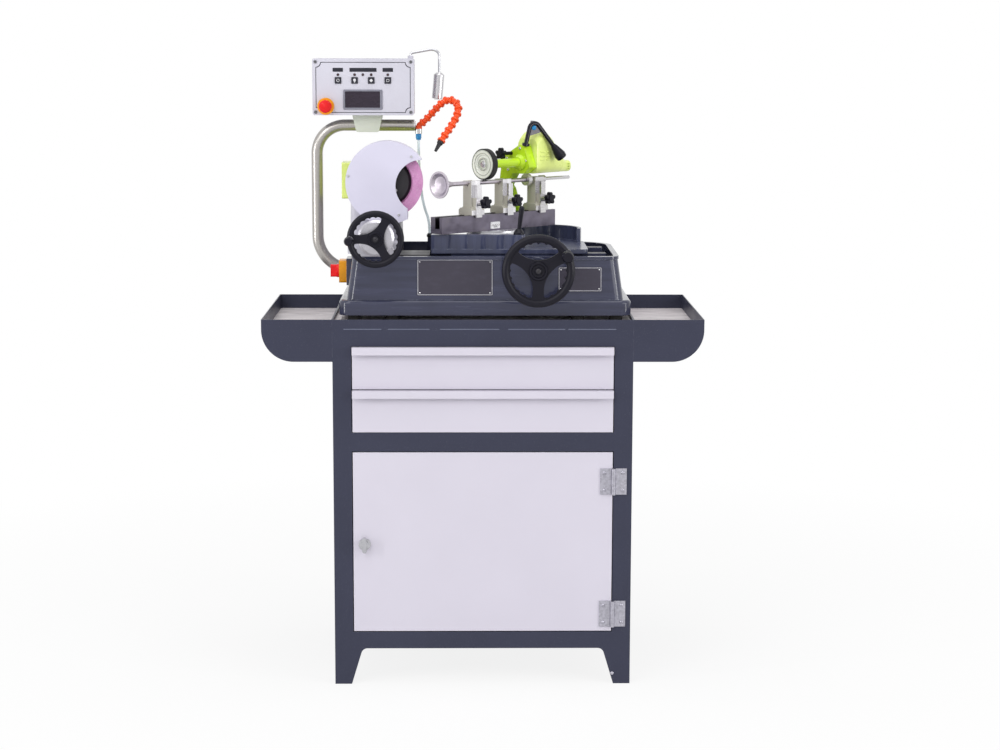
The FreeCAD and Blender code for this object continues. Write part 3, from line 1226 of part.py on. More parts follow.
def valve():
    """Engine valve with a tulip head, lying in the stands."""
    radius = VALVE_HEAD_RADIUS
    stem = VALVE_STEM_RADIUS
    wire_points = ((0, 8), (0.62 * radius, 5), (0.86 * radius, 0), (radius, 0), (radius, 2), (0.82 * radius, 7),
                   (0.5 * radius, 13), (0.3 * radius, 22), (stem, 40), (stem, VALVE_LENGTH - 2),
                   (stem - 1.5, VALVE_LENGTH), (0, VALVE_LENGTH))
    return on_swivel(turned(wire_points, vec(VALVE_FACE, 0, VALVE_Z), X_AXIS))


def drive_wheel():
    """Dished friction wheel on the drive's output shaft."""
    rim = DRIVE_WHEEL_RADIUS - TYRE
    depth = DRIVE_WHEEL_WIDTH
    shaft_end = GEARBOX_START + 12 - DRIVE_WHEEL_START
    shaft = DRIVE_SHAFT_RADIUS
    profile = ((0, 2), (8, 2), (8, 4), (13, 4), (15, 3), (20, 3), (21, 1), (rim, 0), (rim, depth), (20, depth),
               (18, depth - 3), (shaft, depth - 3), (shaft, shaft_end), (0, shaft_end))
    return on_swivel(turned(profile, vec(DRIVE_WHEEL_START, 0, DRIVE_Z), X_AXIS))


def drive_tyre():
    """Rubber tyre of the friction wheel."""
    rim = DRIVE_WHEEL_RADIUS - TYRE
    depth = DRIVE_WHEEL_WIDTH
    profile = ((rim, 0), (DRIVE_WHEEL_RADIUS - 1, 0), (DRIVE_WHEEL_RADIUS, 1.5), (DRIVE_WHEEL_RADIUS, depth - 1.5),
               (DRIVE_WHEEL_RADIUS - 1, depth), (rim, depth))
    return on_swivel(turned(profile, vec(DRIVE_WHEEL_START, 0, DRIVE_Z), X_AXIS))


def drive_gearbox():
    """Tilting gear case: bearing tube, bevelled case and the arm down to its pivot."""
    axis_start = vec(DRIVE_WHEEL_START + DRIVE_WHEEL_WIDTH + 2, 0, DRIVE_Z)
    tube = rod(axis_start, vec(GEARBOX_START + 2, 0, DRIVE_Z), DRIVE_SPINDLE_RADIUS)
    collar = turned(((0, 0), (DRIVE_SPINDLE_RADIUS + 3, 0), (DRIVE_SPINDLE_RADIUS + 8, 6),
                     (DRIVE_SPINDLE_RADIUS + 8, 12), (0, 12)), vec(GEARBOX_START - 11, 0, DRIVE_Z), X_AXIS)
    sides = [(y, DRIVE_Z + z) for y, z in GEARBOX_SIDES]
    case = prism(sideways(sides, GEARBOX_START), GEARBOX_ROUND, vec(GEARBOX_LENGTH, 0, 0))
    first = GEARBOX_START + GEARBOX_LENGTH / 2 - EAR_SPAN / 2 + EAR + GAP
    width = EAR_SPAN - 2 * EAR - 2 * GAP
    eye = 1.8 * PIVOT_RADIUS
    foot_y, foot_z = sides[2]
    top_y, top_z = sides[3]
    arm_shape = ((PIVOT_BACK - eye, PIVOT_Z), (PIVOT_BACK + eye, PIVOT_Z), (PIVOT_BACK + 4, foot_z + 10),
                 (top_y - 4, top_z - 8), (foot_y - 30, foot_z + 14), (foot_y - 24, foot_z + 4))
    arm = prism(sideways(arm_shape, first), 0, vec(width, 0, 0))
    hub = rod(vec(first, PIVOT_BACK, PIVOT_Z), vec(first + width, PIVOT_BACK, PIVOT_Z), eye)
    body = fuse(tube, collar, case, arm, hub)
    bore = rod(vec(first - 1, PIVOT_BACK, PIVOT_Z), vec(first + width + 1, PIVOT_BACK, PIVOT_Z), PIVOT_RADIUS + FIT)
    shaft = rod(axis_start - X_AXIS, vec(GEARBOX_START + 13, 0, DRIVE_Z), DRIVE_SHAFT_RADIUS + FIT)
    y, z = TENSION_KNOB
    stud = rod(vec(GEARBOX_START - 1, y, DRIVE_Z + z), vec(GEARBOX_START + 10, y, DRIVE_Z + z), KNOB_STUD_RADIUS + FIT)
    return on_swivel(cut(body, bore, shaft, stud))


def motor_section(at, half_width, high, radius):
    """Rounded section of the drive's motor housing over its level underside."""
    low = DRIVE_Z + GEARBOX_SIDES[1][1]
    points = ((-half_width, low), (half_width, low), (half_width, DRIVE_Z + high), (-half_width, DRIVE_Z + high))
    return outline(sideways(points, at), radius)


def drive_motor():
    """Tapered motor housing behind the gear case, with a slotted tail."""
    start = GEARBOX_END
    end = start + DRIVE_MOTOR_LENGTH
    sections = []
    for share, half, high, rounding in zip(DRIVE_MOTOR_SHARES, DRIVE_MOTOR_HALVES, DRIVE_MOTOR_HEIGHTS,
                                           DRIVE_MOTOR_ROUNDS):
        sections.append(motor_section(start + share * DRIVE_MOTOR_LENGTH, half, high, rounding))
    housing = Part.makeLoft(sections, True, False)
    low = DRIVE_Z + GEARBOX_SIDES[1][1]
    tail = Part.Face(motor_section(end - 1, DRIVE_TAIL_HALF, 0, DRIVE_TAIL_ROUND)).extrude(vec(DRIVE_TAIL, 0, 0))
    slots = []
    for i in range(TAIL_SLOTS):
        z = low + TAIL_SLOT_PITCH * (i + 1)
        slots.append(box(end + 3, end + DRIVE_TAIL - 5, -2 * DRIVE_TAIL_HALF, 2 * DRIVE_TAIL_HALF, z, z + TAIL_SLOT))
    core = box(end - 1, end + DRIVE_TAIL - 3, 4 - DRIVE_TAIL_HALF, DRIVE_TAIL_HALF - 4, low + 3, DRIVE_Z - 3)
    return on_swivel(fuse(cut(fuse(housing, tail), *slots), core))


def lift_lever():
    """Bent lifting handle with a web in its bend and a tapered knob, bolted to the gear case."""
    root, top, tip = [vec(GEARBOX_START + a, y, DRIVE_Z + z) for a, y, z in LEVER_ROUTE]
    bar = tube_along([root, top, tip], [0, LEVER_BEND, 0], LEVER_RADIUS)
    foot = rod(root - Z_AXIS, root + (top - root).normalize() * 5, 1.7 * LEVER_RADIUS)
    along = (tip - top).normalize()
    knob = turned(((0, 0), (6, 0), (8, 6), (13, 28), (12, 36), (0, 38)), tip - along * 4, along)
    rise = top - root
    run = tip - top
    corners = [root + rise * 0.3, root + rise * 0.85, top + run * 0.16, top + run * 0.5]
    web = Part.Face(Part.makePolygon(corners + corners[:1]))
    plate = web.extrude(web.normalAt(0, 0) * 3)
    return on_swivel(fuse(bar, foot, knob, plate))


def tension_knob():
    """Star knob on the gear case that sets the wheel's pressure."""
    at = GEARBOX_START - TENSION_STANDOFF
    y = TENSION_KNOB[0]
    z = DRIVE_Z + TENSION_KNOB[1]
    hub = rod(vec(at, y, z), vec(at - 14, y, z), 8)
    lobe = rod(vec(at - 2, y, z + 9), vec(at - 12, y, z + 9), 4.5)
    stud = rod(vec(at - 1, y, z), vec(GEARBOX_START + 9, y, z), KNOB_STUD_RADIUS)
    return on_swivel(fuse(hub, stud, *polar(lobe, 5, vec(at, y, z), X_AXIS)))


def support_tube():
    """Bent tube that carries the switch box, rooted in the trough's left wall."""
    return tube_along(tube_corners(), [0, TUBE_BEND, TUBE_FOOT_BEND, 0], TUBE_RADIUS)


def box_clamp():
    """Tapered saddle clamp between the tube and the switch box."""
    top = CLAMP_TOP_WIDTH / 2
    foot = CLAMP_FOOT_WIDTH / 2
    low = TUBE_TOP - TUBE_RADIUS - 2
    shape = upright(((CLAMP_CENTRE - foot, low), (CLAMP_CENTRE + foot, low), (CLAMP_CENTRE + top, BOX_BOTTOM),
                     (CLAMP_CENTRE - top, BOX_BOTTOM)), TUBE_Y - CLAMP_DEPTH / 2)
    body = prism(shape, [5, 5, 0, 0], vec(0, CLAMP_DEPTH, 0))
    hole = rod(vec(CLAMP_CENTRE - 2 * top, TUBE_Y, TUBE_TOP), vec(CLAMP_CENTRE + 2 * top, TUBE_Y, TUBE_TOP),
               TUBE_RADIUS + FIT)
    return cut(body, hole)


def key_centres():
    return [KEY_FIRST + KEY_PITCH * i for i in range(4)]


def control_box():
    """Hollow switch box, open at the front, with the lamp's collar on top."""
    back = BOX_FRONT + BOX_DEPTH
    shape = upright(rectangle(BOX_LEFT, BOX_RIGHT, BOX_BOTTOM, BOX_TOP), BOX_FACE)
    body = prism(shape, 5, vec(0, back - BOX_FACE, 0))
    inner = upright(rectangle(BOX_LEFT + BOX_WALL, BOX_RIGHT - BOX_WALL, BOX_BOTTOM + BOX_WALL, BOX_TOP - BOX_WALL),
                    BOX_FACE - 1)
    hollow = prism(inner, 3, vec(0, back - BOX_FACE - BOX_WALL + 1, 0))
    collar = rod(vec(LAMP_X, LAMP_Y, BOX_TOP - 1), vec(LAMP_X, LAMP_Y, BOX_TOP + 6), 2.2 * LAMP_ARM_RADIUS)
    socket = rod(vec(LAMP_X, LAMP_Y, BOX_TOP - 2), vec(LAMP_X, LAMP_Y, BOX_TOP + 7), LAMP_ARM_RADIUS + FIT)
    return cut(fuse(cut(body, hollow), collar), socket)


def control_lid():
    """Front plate with the openings of the keys and the stop button."""
    shape = upright(rectangle(BOX_LEFT, BOX_RIGHT, BOX_BOTTOM, BOX_TOP), BOX_FRONT)
    plate = prism(shape, 5, vec(0, LID, 0))
    holes = [rod(vec(STOP_X, BOX_FRONT - 1, STOP_Z), vec(STOP_X, BOX_FACE + 1, STOP_Z), STOP_BUTTON_RADIUS / 2 + FIT)]
    half = KEY_SIZE / 2 + GAP
    for x in key_centres():
        holes.append(box(x - half, x + half, BOX_FRONT - 1, BOX_FACE + 1, KEY_Z - half, KEY_Z + half))
    return cut(plate, *holes)


def key(x):
    """Square key with its flange behind the lid."""
    half = KEY_SIZE / 2
    cap = prism(upright(rectangle(x - half, x + half, KEY_Z - half, KEY_Z + half), BOX_FRONT - KEY_PROUD), 1.5,
                vec(0, LID + KEY_PROUD + GAP + 1, 0))
    rim = half + 2
    flange = box(x - rim, x + rim, BOX_FACE + GAP, BOX_FACE + GAP + 2, KEY_Z - rim, KEY_Z + rim)
    return fuse(cap, flange)


def estop_collar():
    """Round base plate under the stop button."""
    start = vec(STOP_X, BOX_FRONT, STOP_Z)
    ring = rod(start, start - Y_AXIS * 5, STOP_COLLAR_RADIUS)
    return cut(ring, rod(start + Y_AXIS, start - Y_AXIS * 6, STOP_BUTTON_RADIUS / 2 + FIT))


def estop_button():
    """Mushroom stop button on its plunger."""
    seat = vec(STOP_X, BOX_FRONT - 5 - STOP_TRAVEL - 3, STOP_Z)
    head = turned(((0, 0), (0.75 * STOP_BUTTON_RADIUS, 0), (STOP_BUTTON_RADIUS, 4), (STOP_BUTTON_RADIUS, 9),
                   (0.85 * STOP_BUTTON_RADIUS, 12), (0, 14)), seat, -Y_AXIS)
    plunger = rod(seat - Y_AXIS, vec(STOP_X, BOX_FACE + 8, STOP_Z), STOP_BUTTON_RADIUS / 2)
    return fuse(head, plunger)


def main_switch_box():
    """Housing of the main switch on its pad."""
    half = SWITCH_SIZE / 2
    points = sideways(rectangle(SWITCH_Y - half, SWITCH_Y + half, SWITCH_Z - half, SWITCH_Z + half),
                      SWITCH_PAD_X - SWITCH_DEPTH)
    body = prism(points, 5, vec(SWITCH_DEPTH, 0, 0))
    face = SWITCH_PAD_X - SWITCH_DEPTH
    return cut(body, rod(vec(face - 1, SWITCH_Y, SWITCH_Z), vec(face + 12, SWITCH_Y, SWITCH_Z), 5 + FIT))


def main_switch_knob():
    """Turning knob with a raised grip bar."""
    seat = vec(SWITCH_PAD_X - SWITCH_DEPTH - GAP, SWITCH_Y, SWITCH_Z)
    disc = rod(seat, seat - X_AXIS * 6, SWITCH_KNOB_RADIUS)
    shaft = rod(seat - X_AXIS, seat + X_AXIS * 10, 5)
    half = SWITCH_KNOB_RADIUS - 1
    bar_points = sideways(rectangle(SWITCH_Y - 5, SWITCH_Y + 5, SWITCH_Z - half, SWITCH_Z + half),
                          seat.x - SWITCH_KNOB)
    bar = prism(bar_points, 3, vec(SWITCH_KNOB - 5, 0, 0))
    return fuse(disc, shaft, bar)


def hose_fitting():
    """Plug in the tube's end with the arm's seat on top and the push-in fitting below."""
    top = HOSE_SEAT_Z - GAP
    low = from_seat(FEED_TUBE_ROUTE[0]).z
    body = rod(vec(HOSE_X, TUBE_Y, low + 14), vec(HOSE_X, TUBE_Y, top), 8)
    push = turned(((0, 0), (5.5, 0), (5.5, 3), (6.5, 4), (6.5, 14), (0, 14)), vec(HOSE_X, TUBE_Y, low), Z_AXIS)
    plug = rod(vec(TUBE_END_X, TUBE_Y, TUBE_TOP - 8), vec(HOSE_X, TUBE_Y, TUBE_TOP - 8), 4)
    flange = rod(vec(TUBE_END_X, TUBE_Y, TUBE_TOP), vec(TUBE_END_X + 3, TUBE_Y, TUBE_TOP), TUBE_RADIUS)
    socket = rod(vec(HOSE_X, TUBE_Y, top - 8), vec(HOSE_X, TUBE_Y, top + 1), 4 + FIT)
    above = box(HOSE_X - 9, HOSE_X + 9, TUBE_Y - 9, TUBE_Y + 9, top, TUBE_TOP + 20)
    return cut(fuse(body, push, plug, flange), socket, above)


def hose_curve():
    curve = Part.BSplineCurve()
    curve.interpolate([from_seat(p) for p in HOSE_ROUTE])
    return curve


def coolant_arm():
    """Chain of ball-and-socket segments, each cup gripping the ball before it."""
    curve = hose_curve()
    step = curve.length() / SEGMENT_COUNT
    radius = SEGMENT_RADIUS
    profile = ((0, -1), (0.62 * radius, -1), (0.72 * radius, 0.25 * step), (0.6 * radius, 0.45 * step),
               (radius, 0.7 * step), (radius, 0.95 * step), (0.8 * radius, step), (0, step))
    pieces = []
    for i in range(SEGMENT_COUNT):
        start = curve.parameterAtDistance(step * i)
        end = curve.parameterAtDistance(step * (i + 1))
        along = curve.value(end) - curve.value(start)
        pieces.append(turned(profile, curve.value(start), along))
    root = vec(HOSE_X, TUBE_Y, HOSE_SEAT_Z)
    pieces.append(rod(root, root + Z_AXIS * 8, 8))
    pieces.append(rod(root - Z_AXIS * 6, root + Z_AXIS, 4))
    return fuse(*pieces)


def coolant_nozzle():
    """Tapered nozzle on the end of the arm."""
    curve = hose_curve()
    end = curve.value(curve.LastParameter)
    along = curve.tangent(curve.LastParameter)[0]
    profile = ((2, 0), (7, 0), (7, 5), (5, 8), (3.2, NOZZLE_LENGTH), (2, NOZZLE_LENGTH))
    return turned(profile, end + along * (2 * GAP), along)


def bend_radii(points):
    """Radius of each free bend of a hose: as large as its two runs allow."""
    radii = [0]
    for before, point, after in zip(points, points[1:], points[2:]):
        turn = (point - before).getAngle(after - point)
        shorter = min((point - before).Length, (after - point).Length)
        radii.append(0.45 * shorter / math.tan(turn / 2))
    return radii + [0]


def coolant_tube():
    """Thin feed tube from the spigot in the trough up to the push-in fitting."""
    points = [from_seat(p) for p in FEED_TUBE_ROUTE]
    radii = bend_radii(points)
    print("feed tube bend radii", [round(r, 1) for r in radii[1:-1]])
    return tube_along(points, radii, FEED_TUBE_RADIUS)


def lamp_points():
    """Centre line of the lamp's gooseneck, from the box up and over to the lamp."""
    return [vec(LAMP_X + x, LAMP_Y, BOX_TOP + z) for x, z in LAMP_ROUTE]


def lamp_arm():
    """Gooseneck of the work lamp."""
    return tube_along(lamp_points(), LAMP_BENDS, LAMP_ARM_RADIUS)


def lamp_head():
    """Slim lamp with a recessed lens end."""
    seat = lamp_points()[-1]
    lean = math.radians(LAMP_LEAN)
    along = vec(-math.sin(lean), 0, -math.cos(lean))
    radius = LAMP_RADIUS
    profile = ((0, 1), (0.5 * radius, 1), (radius, 6), (radius, LAMP_LENGTH), (radius - 2, LAMP_LENGTH),
               (radius - 2, LAMP_LENGTH - 4), (0, LAMP_LENGTH - 4))
    return turned(profile, seat, along)


def nodes():
    """Every piece of the machine by name."""
    lower, upper = drawer_levels()
    pieces = {
        "cabinet_body": cabinet_body(),
        "side_tray_left": side_tray(-1),
        "side_tray_right": side_tray(1),
        "lower_drawer": drawer(*lower),
        "upper_drawer": drawer(*upper),
        "door_panel": door_panel(),
        "frame_hinges": Part.makeCompound([frame_leaf(z0) for z0 in hinge_levels()]),
        "door_hinges": Part.makeCompound([door_leaf(z0) for z0 in hinge_levels()]),
        "latch_knob": latch_knob(),
        "base_casting": base_casting(),
        "base_feet": base_feet(),
        "grind_ways": grind_ways(),
        "grind_saddle": grind_saddle(),
        "grind_motor": grind_motor(),
        "wheel_guard": wheel_guard(),
        "spindle": spindle(),
        "grinding_wheel": grinding_wheel(),
        "feed_bracket": feed_bracket(),
        "feed_screw": feed_screw(),
        "left_handwheel": handwheel(LEFT_WHEEL_RADIUS, FEED_WHEEL, 60, LEFT_GRIP_ANGLE, FEED_SCREW_RADIUS),
        "left_grip": handwheel_grip(LEFT_WHEEL_RADIUS, FEED_WHEEL, LEFT_GRIP_ANGLE),
        "carriage": carriage(),
        "pinion_shaft": pinion_shaft(),
        "right_handwheel": handwheel(RIGHT_WHEEL_RADIUS, CARRIAGE_WHEEL, 30, RIGHT_GRIP_ANGLE, PINION_SHAFT_RADIUS),
        "right_grip": handwheel_grip(RIGHT_WHEEL_RADIUS, CARRIAGE_WHEEL, RIGHT_GRIP_ANGLE),
        "clamp_lever": clamp_lever(),
        "turntable": on_swivel(turntable()),
        "work_rail": work_rail(),
        "v_block_front": v_block(BLOCK_FRONT),
        "v_block_rear": v_block(BLOCK_REAR),
        "stop_block": stop_block(),
        "front_knob": star_knob(BLOCK_FRONT),
        "rear_knob": star_knob(BLOCK_REAR),
        "stop_knob": star_knob(BLOCK_STOP),
        "valve": valve(),
        "drive_wheel": drive_wheel(),
        "drive_tyre": drive_tyre(),
        "drive_gearbox": drive_gearbox(),
        "drive_motor": drive_motor(),
        "lift_lever": lift_lever(),
        "tension_knob": tension_knob(),
        "support_tube": support_tube(),
        "box_clamp": box_clamp(),
        "control_box": control_box(),
        "control_lid": control_lid(),
        "estop_collar": estop_collar(),
        "estop_button": estop_button(),
        "main_switch_box": main_switch_box(),
        "main_switch_knob": main_switch_knob(),
        "hose_fitting": hose_fitting(),
        "coolant_arm": coolant_arm(),
        "coolant_nozzle": coolant_nozzle(),
        "coolant_tube": coolant_tube(),
        "lamp_arm": lamp_arm(),
        "lamp_head": lamp_head(),
    }
    for i, x in enumerate(key_centres()):
        pieces["key_%d" % (i + 1)] = key(x)
    return pieces


os.makedirs("parts", exist_ok=True)
for name, shape in nodes().items():
    shape.exportStep("parts/%s.step" % name)
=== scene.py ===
import math

import bmesh
import bpy
from mathutils import Matrix, Vector
from mathutils.bvhtree import BVHTree


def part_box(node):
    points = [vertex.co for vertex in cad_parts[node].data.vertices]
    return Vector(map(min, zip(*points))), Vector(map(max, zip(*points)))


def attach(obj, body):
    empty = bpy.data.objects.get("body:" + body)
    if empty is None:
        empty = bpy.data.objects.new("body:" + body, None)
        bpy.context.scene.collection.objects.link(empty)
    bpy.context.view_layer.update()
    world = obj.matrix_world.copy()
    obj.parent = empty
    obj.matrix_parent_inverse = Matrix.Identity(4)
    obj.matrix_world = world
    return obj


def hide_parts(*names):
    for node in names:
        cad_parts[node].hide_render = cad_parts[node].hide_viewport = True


bl_info = {
    "name": "Valve face grinder",
    "version": (1, 0, 0),
    "blender": (4, 5, 0),
    "location": "View3D > Sidebar > Grinder",
    "description": "Finishes and small fittings of a wet valve-face grinder on its cabinet stand",
    "category": "Object",
}

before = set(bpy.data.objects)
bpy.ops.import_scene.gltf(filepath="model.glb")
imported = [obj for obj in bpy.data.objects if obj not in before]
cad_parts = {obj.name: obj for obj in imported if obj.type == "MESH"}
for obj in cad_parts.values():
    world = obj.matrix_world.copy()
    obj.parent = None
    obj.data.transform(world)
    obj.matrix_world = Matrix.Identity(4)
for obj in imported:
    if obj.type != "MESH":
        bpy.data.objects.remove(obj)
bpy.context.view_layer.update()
MM = 0.001

# Places taken from the construction, in millimetres
FRONT = (0, -1, 0)
CABINET_FRONT = -240.0
TRAY_FLOOR_LOW = 780.0
TRAY_FLOOR_HIGH = 819.0
SEAM_Z = 802
SEAM_RUNS = ((-305, -222), (-208, -117), (-94, 36), (55, 180), (187, 292))
SEAM_TABS = (-215, -105.5, 45.5, 183.5)
HINGE_LEAF = 2
HINGE_SCREW_ROWS = (142, 181, 443, 482)
FRAME_LEAF_X = 309.5
DOOR_LEAF_X = 268.5
LEG_RIVET = (290.5, CABINET_FRONT, 23.7)
BED_TOP = 958.7
WALL_FOOT = (0.0, -196.0, 861.0)
WALL_LEAN = math.atan2(6.0, 96.0)
PLATES = {"wide": (-145, 22, 10, 90), "narrow": (166, 262, 19, 73)}
GRIND_AXIS = (-214.0, 1112.0)
GUARD_FRONT = -88.0
GUARD_SCREWS = ((-159.6, 1170.0), (-300.5, 1127.0), (-188.0, 1040.0))
FLANGE_FRONT = -66.5
FLANGE_SCREW_CIRCLE = 26
FEED_AXIS = (-234.0, 999.0)
PINION_AXIS = (120.0, 932.0)
FEED_SHAFT_RADIUS = 9
GRIP_LENGTH = 39.5
DIAL_RADIUS = 40.0
DIAL_BACK = -204.3
DIAL_MARKS = 50
BEFORE_WHEELS = -400.0
SWIVEL = Vector((24.6, -28.4, 0.0))
TABLE_RADIUS = 60.0
SCALE_FOOT = 989.0
SCALE_HEIGHT = 11
SCALE_MARKS = 72
POINTER_PLATE = (-28, 2, 1007, 1022)
POINTER_SCREWS = ((-23, 1015), (-3, 1015))
POINTER_LINES = ((-18, 1017), (-15.5, 1014), (-13, 1017), (-10.5, 1014), (-8, 1017))
POINTER_LINE_FOOT = 1009
RAIL_ANGLE = math.radians(45.0)
RAIL_FRONT = -18.0
RAIL_BACK = 18.5
SLOT_FLOOR = 1013.5
SLOT_MIDDLE = -3
SLOT_HALF = 7.2
STRAP_FACE = -20.5
STRAP_HEAD_FACE = -12.5
STRAP_HEAD_Z = 1079.2
STOP_MIDDLE = 139
STOP_HALF = 14.5
STOP_ROD_REACH = 12.6
VALVE_Z = 1111.0
DRIVE_HEIGHT = 1151.3
DISC_FACE = -35.0
DISC_RINGS = ((30.8, 32.6), (24.0, 25.6), (12.0, 14.5))
DISC_BOLT = -33.2
CASE_FACE = 88.0
CASE_SCREWS = ((17, 4), (0, 32), (-38, -18), (-42, 8))
LEVER_ROOT = Vector((5, -12, 39))
LEVER_TOP = Vector((11, -26, 105))
LEVER_TIP = Vector((65, -45, 35))
LEVER_BUTTON = (105.5, 79)
LOUVRE_COLUMNS = (128, 146)
LOUVRE_ROWS = (6, 15, 24)
CLEAR_OF_DRIVE = 150
LID_FRONT = -8.0
LID_LINE = (-376.5, -162.5, 1264.5, 1378)
LID_BARS = ((-338, -314.5), (-300, -239), (-225.5, -202))
LID_BAR_ROWS = (1356.2, 1365.0)
LID_SCREW_COLUMNS = (-377, -162)
LID_SCREW_ROWS = (1266, 1378.5)
BEZEL_OUTSIDE = (-314.5, -226, 1271.5, 1316.5)
BEZEL_INSIDE = (-310.5, -231.5, 1276, 1312.5)
PANEL_FACE = (-311, -231, 1275.6, 1313)
KEY_FRONT = -10
KEY_ROW = 1337
KEY_COLUMNS = (-326, -288.6, -251.2, -213.8)
LIGHT_ROW = 1349.8
LIGHT_COLUMNS = (-326, -288.6, -270, -251.2, -213.8)
FITTING_COLLAR_Z = 1216.5
SPIGOT = (-122, 80, 979)
FEED_TUBE = (
    (-146.0, 40.0, 1202.0),
    (-146.0, 40.0, 1160.0),
    (-143.0, 50.0, 1100.0),
    (-135.0, 64.0, 1048.0),
    (-122.0, 80.0, 1012.0),
    (-122.0, 80.0, 985.0),
)

# The camera, in metres and radians
CAMERA_PLACE = (-0.03157, -4.86676, 1.41827)
CAMERA_PITCH = 0.1538
CAMERA_YAW = 0.0149
CAMERA_ROLL = 0.0024

# Above these angles an edge is shaded sharp, and rounded where a piece has round edges
SHARP_ANGLE = math.radians(40.0)
ROUND_ANGLE = math.radians(35.0)


# Sums on sockets and the making of finishes

class Wire:
    """An output socket of a finish that takes part in Python sums."""

    def __init__(self, finish, socket):
        self.finish = finish
        self.socket = socket

    def sum(self, operation, first, second):
        return self.finish.node("ShaderNodeMath", {"operation": operation}, {0: first, 1: second})

    def __add__(self, other):
        return self.sum("ADD", self, other)

    def __radd__(self, other):
        return self.sum("ADD", other, self)

    def __sub__(self, other):
        return self.sum("SUBTRACT", self, other)

    def __rsub__(self, other):
        return self.sum("SUBTRACT", other, self)

    def __mul__(self, other):
        return self.sum("MULTIPLY", self, other)

    def __rmul__(self, other):
        return self.sum("MULTIPLY", other, self)


class Finish:
    """A tree of nodes round one shader, in a new material or in a world."""

    def __init__(self, name, world=None):
        self.owner = bpy.data.materials.new(name) if world is None else world
        self.owner.use_nodes = True
        self.tree = self.owner.node_tree
        self.tree.nodes.clear()
        self.where = None

    def node(self, kind, settings=None, inputs=None, output=0):
        """Adds a node, sets it up, then feeds its sockets."""
        node = self.tree.nodes.new(kind)
        for key, value in (settings or {}).items():
            setattr(node, key, value)
        for key, value in (inputs or {}).items():
            if isinstance(value, Wire):
                self.tree.links.new(value.socket, node.inputs[key])
            else:
                node.inputs[key].default_value = value
        return Wire(self, node.outputs[output])

    def place(self, stretch=(1.0, 1.0, 1.0), turn=0.0):
        """Position on the piece in metres, stretched for brushed or streaked patterns."""
        if self.where is None:
            self.where = self.node("ShaderNodeTexCoord", output=3)
        if stretch == (1.0, 1.0, 1.0) and turn == 0.0:
            return self.where
        inputs = {0: self.where, 2: (0.0, 0.0, turn), 3: stretch}
        return self.node("ShaderNodeMapping", {}, inputs)

    def noise(self, scale, detail=2.0, stretch=(1.0, 1.0, 1.0), turn=0.0):
        inputs = {"Vector": self.place(stretch, turn), "Scale": scale, "Detail": detail}
        return self.node("ShaderNodeTexNoise", {}, inputs)

    def cells(self, scale, feature="F1", output=0):
        inputs = {"Vector": self.place(), "Scale": scale}
        return self.node("ShaderNodeTexVoronoi", {"feature": feature}, inputs, output)

    def between(self, value, low, high, to_low=0.0, to_high=1.0):
        inputs = {"Value": value, "From Min": low, "From Max": high, "To Min": to_low, "To Max": to_high}
        return self.node("ShaderNodeMapRange", {}, inputs)

    def mix(self, factor, first, second):
        return self.node("ShaderNodeMix", {"data_type": "RGBA"}, {0: factor, 6: first, 7: second}, 2)

    def rounded_normal(self, radius):
        return self.node("ShaderNodeBevel", {"samples": 4}, {"Radius": radius})

    def edges(self, radius, low=0.03, high=0.3):
        """One along sharp edges, nothing on open faces."""
        plain = self.node("ShaderNodeNewGeometry", output=1)
        along = self.node("ShaderNodeVectorMath", {"operation": "DOT_PRODUCT"},
                          {0: self.rounded_normal(radius), 1: plain}, 1)
        return self.between(1 - along, low, high)

    def from_axis(self, origin, axis):
        """Distance from a line through the piece, in metres."""
        away = self.node("ShaderNodeVectorMath", {"operation": "SUBTRACT"}, {0: self.place(), 1: origin})
        square = self.node("ShaderNodeVectorMath", {"operation": "CROSS_PRODUCT"}, {0: away, 1: axis})
        return self.node("ShaderNodeVectorMath", {"operation": "LENGTH"}, {0: square}, 1)

    def bump(self, height, strength, depth, normal=None):
        inputs = {"Height": height, "Strength": strength, "Distance": depth}
        if normal is not None:
            inputs["Normal"] = normal
        return self.node("ShaderNodeBump", {}, inputs)

    def surface(self, **sockets):
        """Closes the tree with a Principled shader; keys are its sockets, spaces as underscores."""
        inputs = {key.replace("_", " "): value for key, value in sockets.items()}
        return self.close(self.node("ShaderNodeBsdfPrincipled", {}, inputs))

    def close(self, shader, kind="ShaderNodeOutputMaterial"):
        end = self.tree.nodes.new(kind)
        self.tree.links.new(shader.socket, end.inputs["Surface"])
        return self.owner

    def straight_rays(self):
        """One for rays that come from the camera, off a gloss or through clear plastic."""
        seen, mirrored, through = [self.node("ShaderNodeLightPath", output=i) for i in (0, 3, 6)]
        return self.between(seen + mirrored + through, 0.0, 1.0)


def rgba(colour, shade=1.0):
    return (colour[0] * shade, colour[1] * shade, colour[2] * shade, 1.0)


def sprayed_coat(name, colour, roughness=0.38, peel=0.35, worn=(0.55, 0.55, 0.6), wear=0.35, cloudy=0.05):
    """Powder-coated sheet: orange peel, faint clouds, and edges rubbed a little lighter."""
    f = Finish(name)
    cloud = f.noise(7.0, 4.0)
    rub = f.noise(60.0, 5.0)
    peel_height = f.noise(900.0, 1.0)
    tint = f.mix(f.between(cloud, 0.35, 0.7), rgba(colour, 1 - cloudy), rgba(colour, 1 + 0.6 * cloudy))
    edge = f.edges(1.4 * MM) * f.between(rub, 0.42, 0.68) * wear
    tint = f.mix(edge, tint, rgba(worn))
    dust = f.between(f.noise(420.0, 3.0), 0.62, 0.8, 0.0, 1.6 * cloudy)
    tint = f.mix(dust, tint, rgba((0.5, 0.5, 0.52)))
    rough = f.between(cloud, 0.3, 0.7, roughness - 0.06, roughness + 0.08) + edge * 0.1
    normal = f.bump(peel_height, peel, 0.12 * MM, f.rounded_normal(0.9 * MM))
    return f.surface(Base_Color=tint, Roughness=rough, Normal=normal, Specular_IOR_Level=0.25)


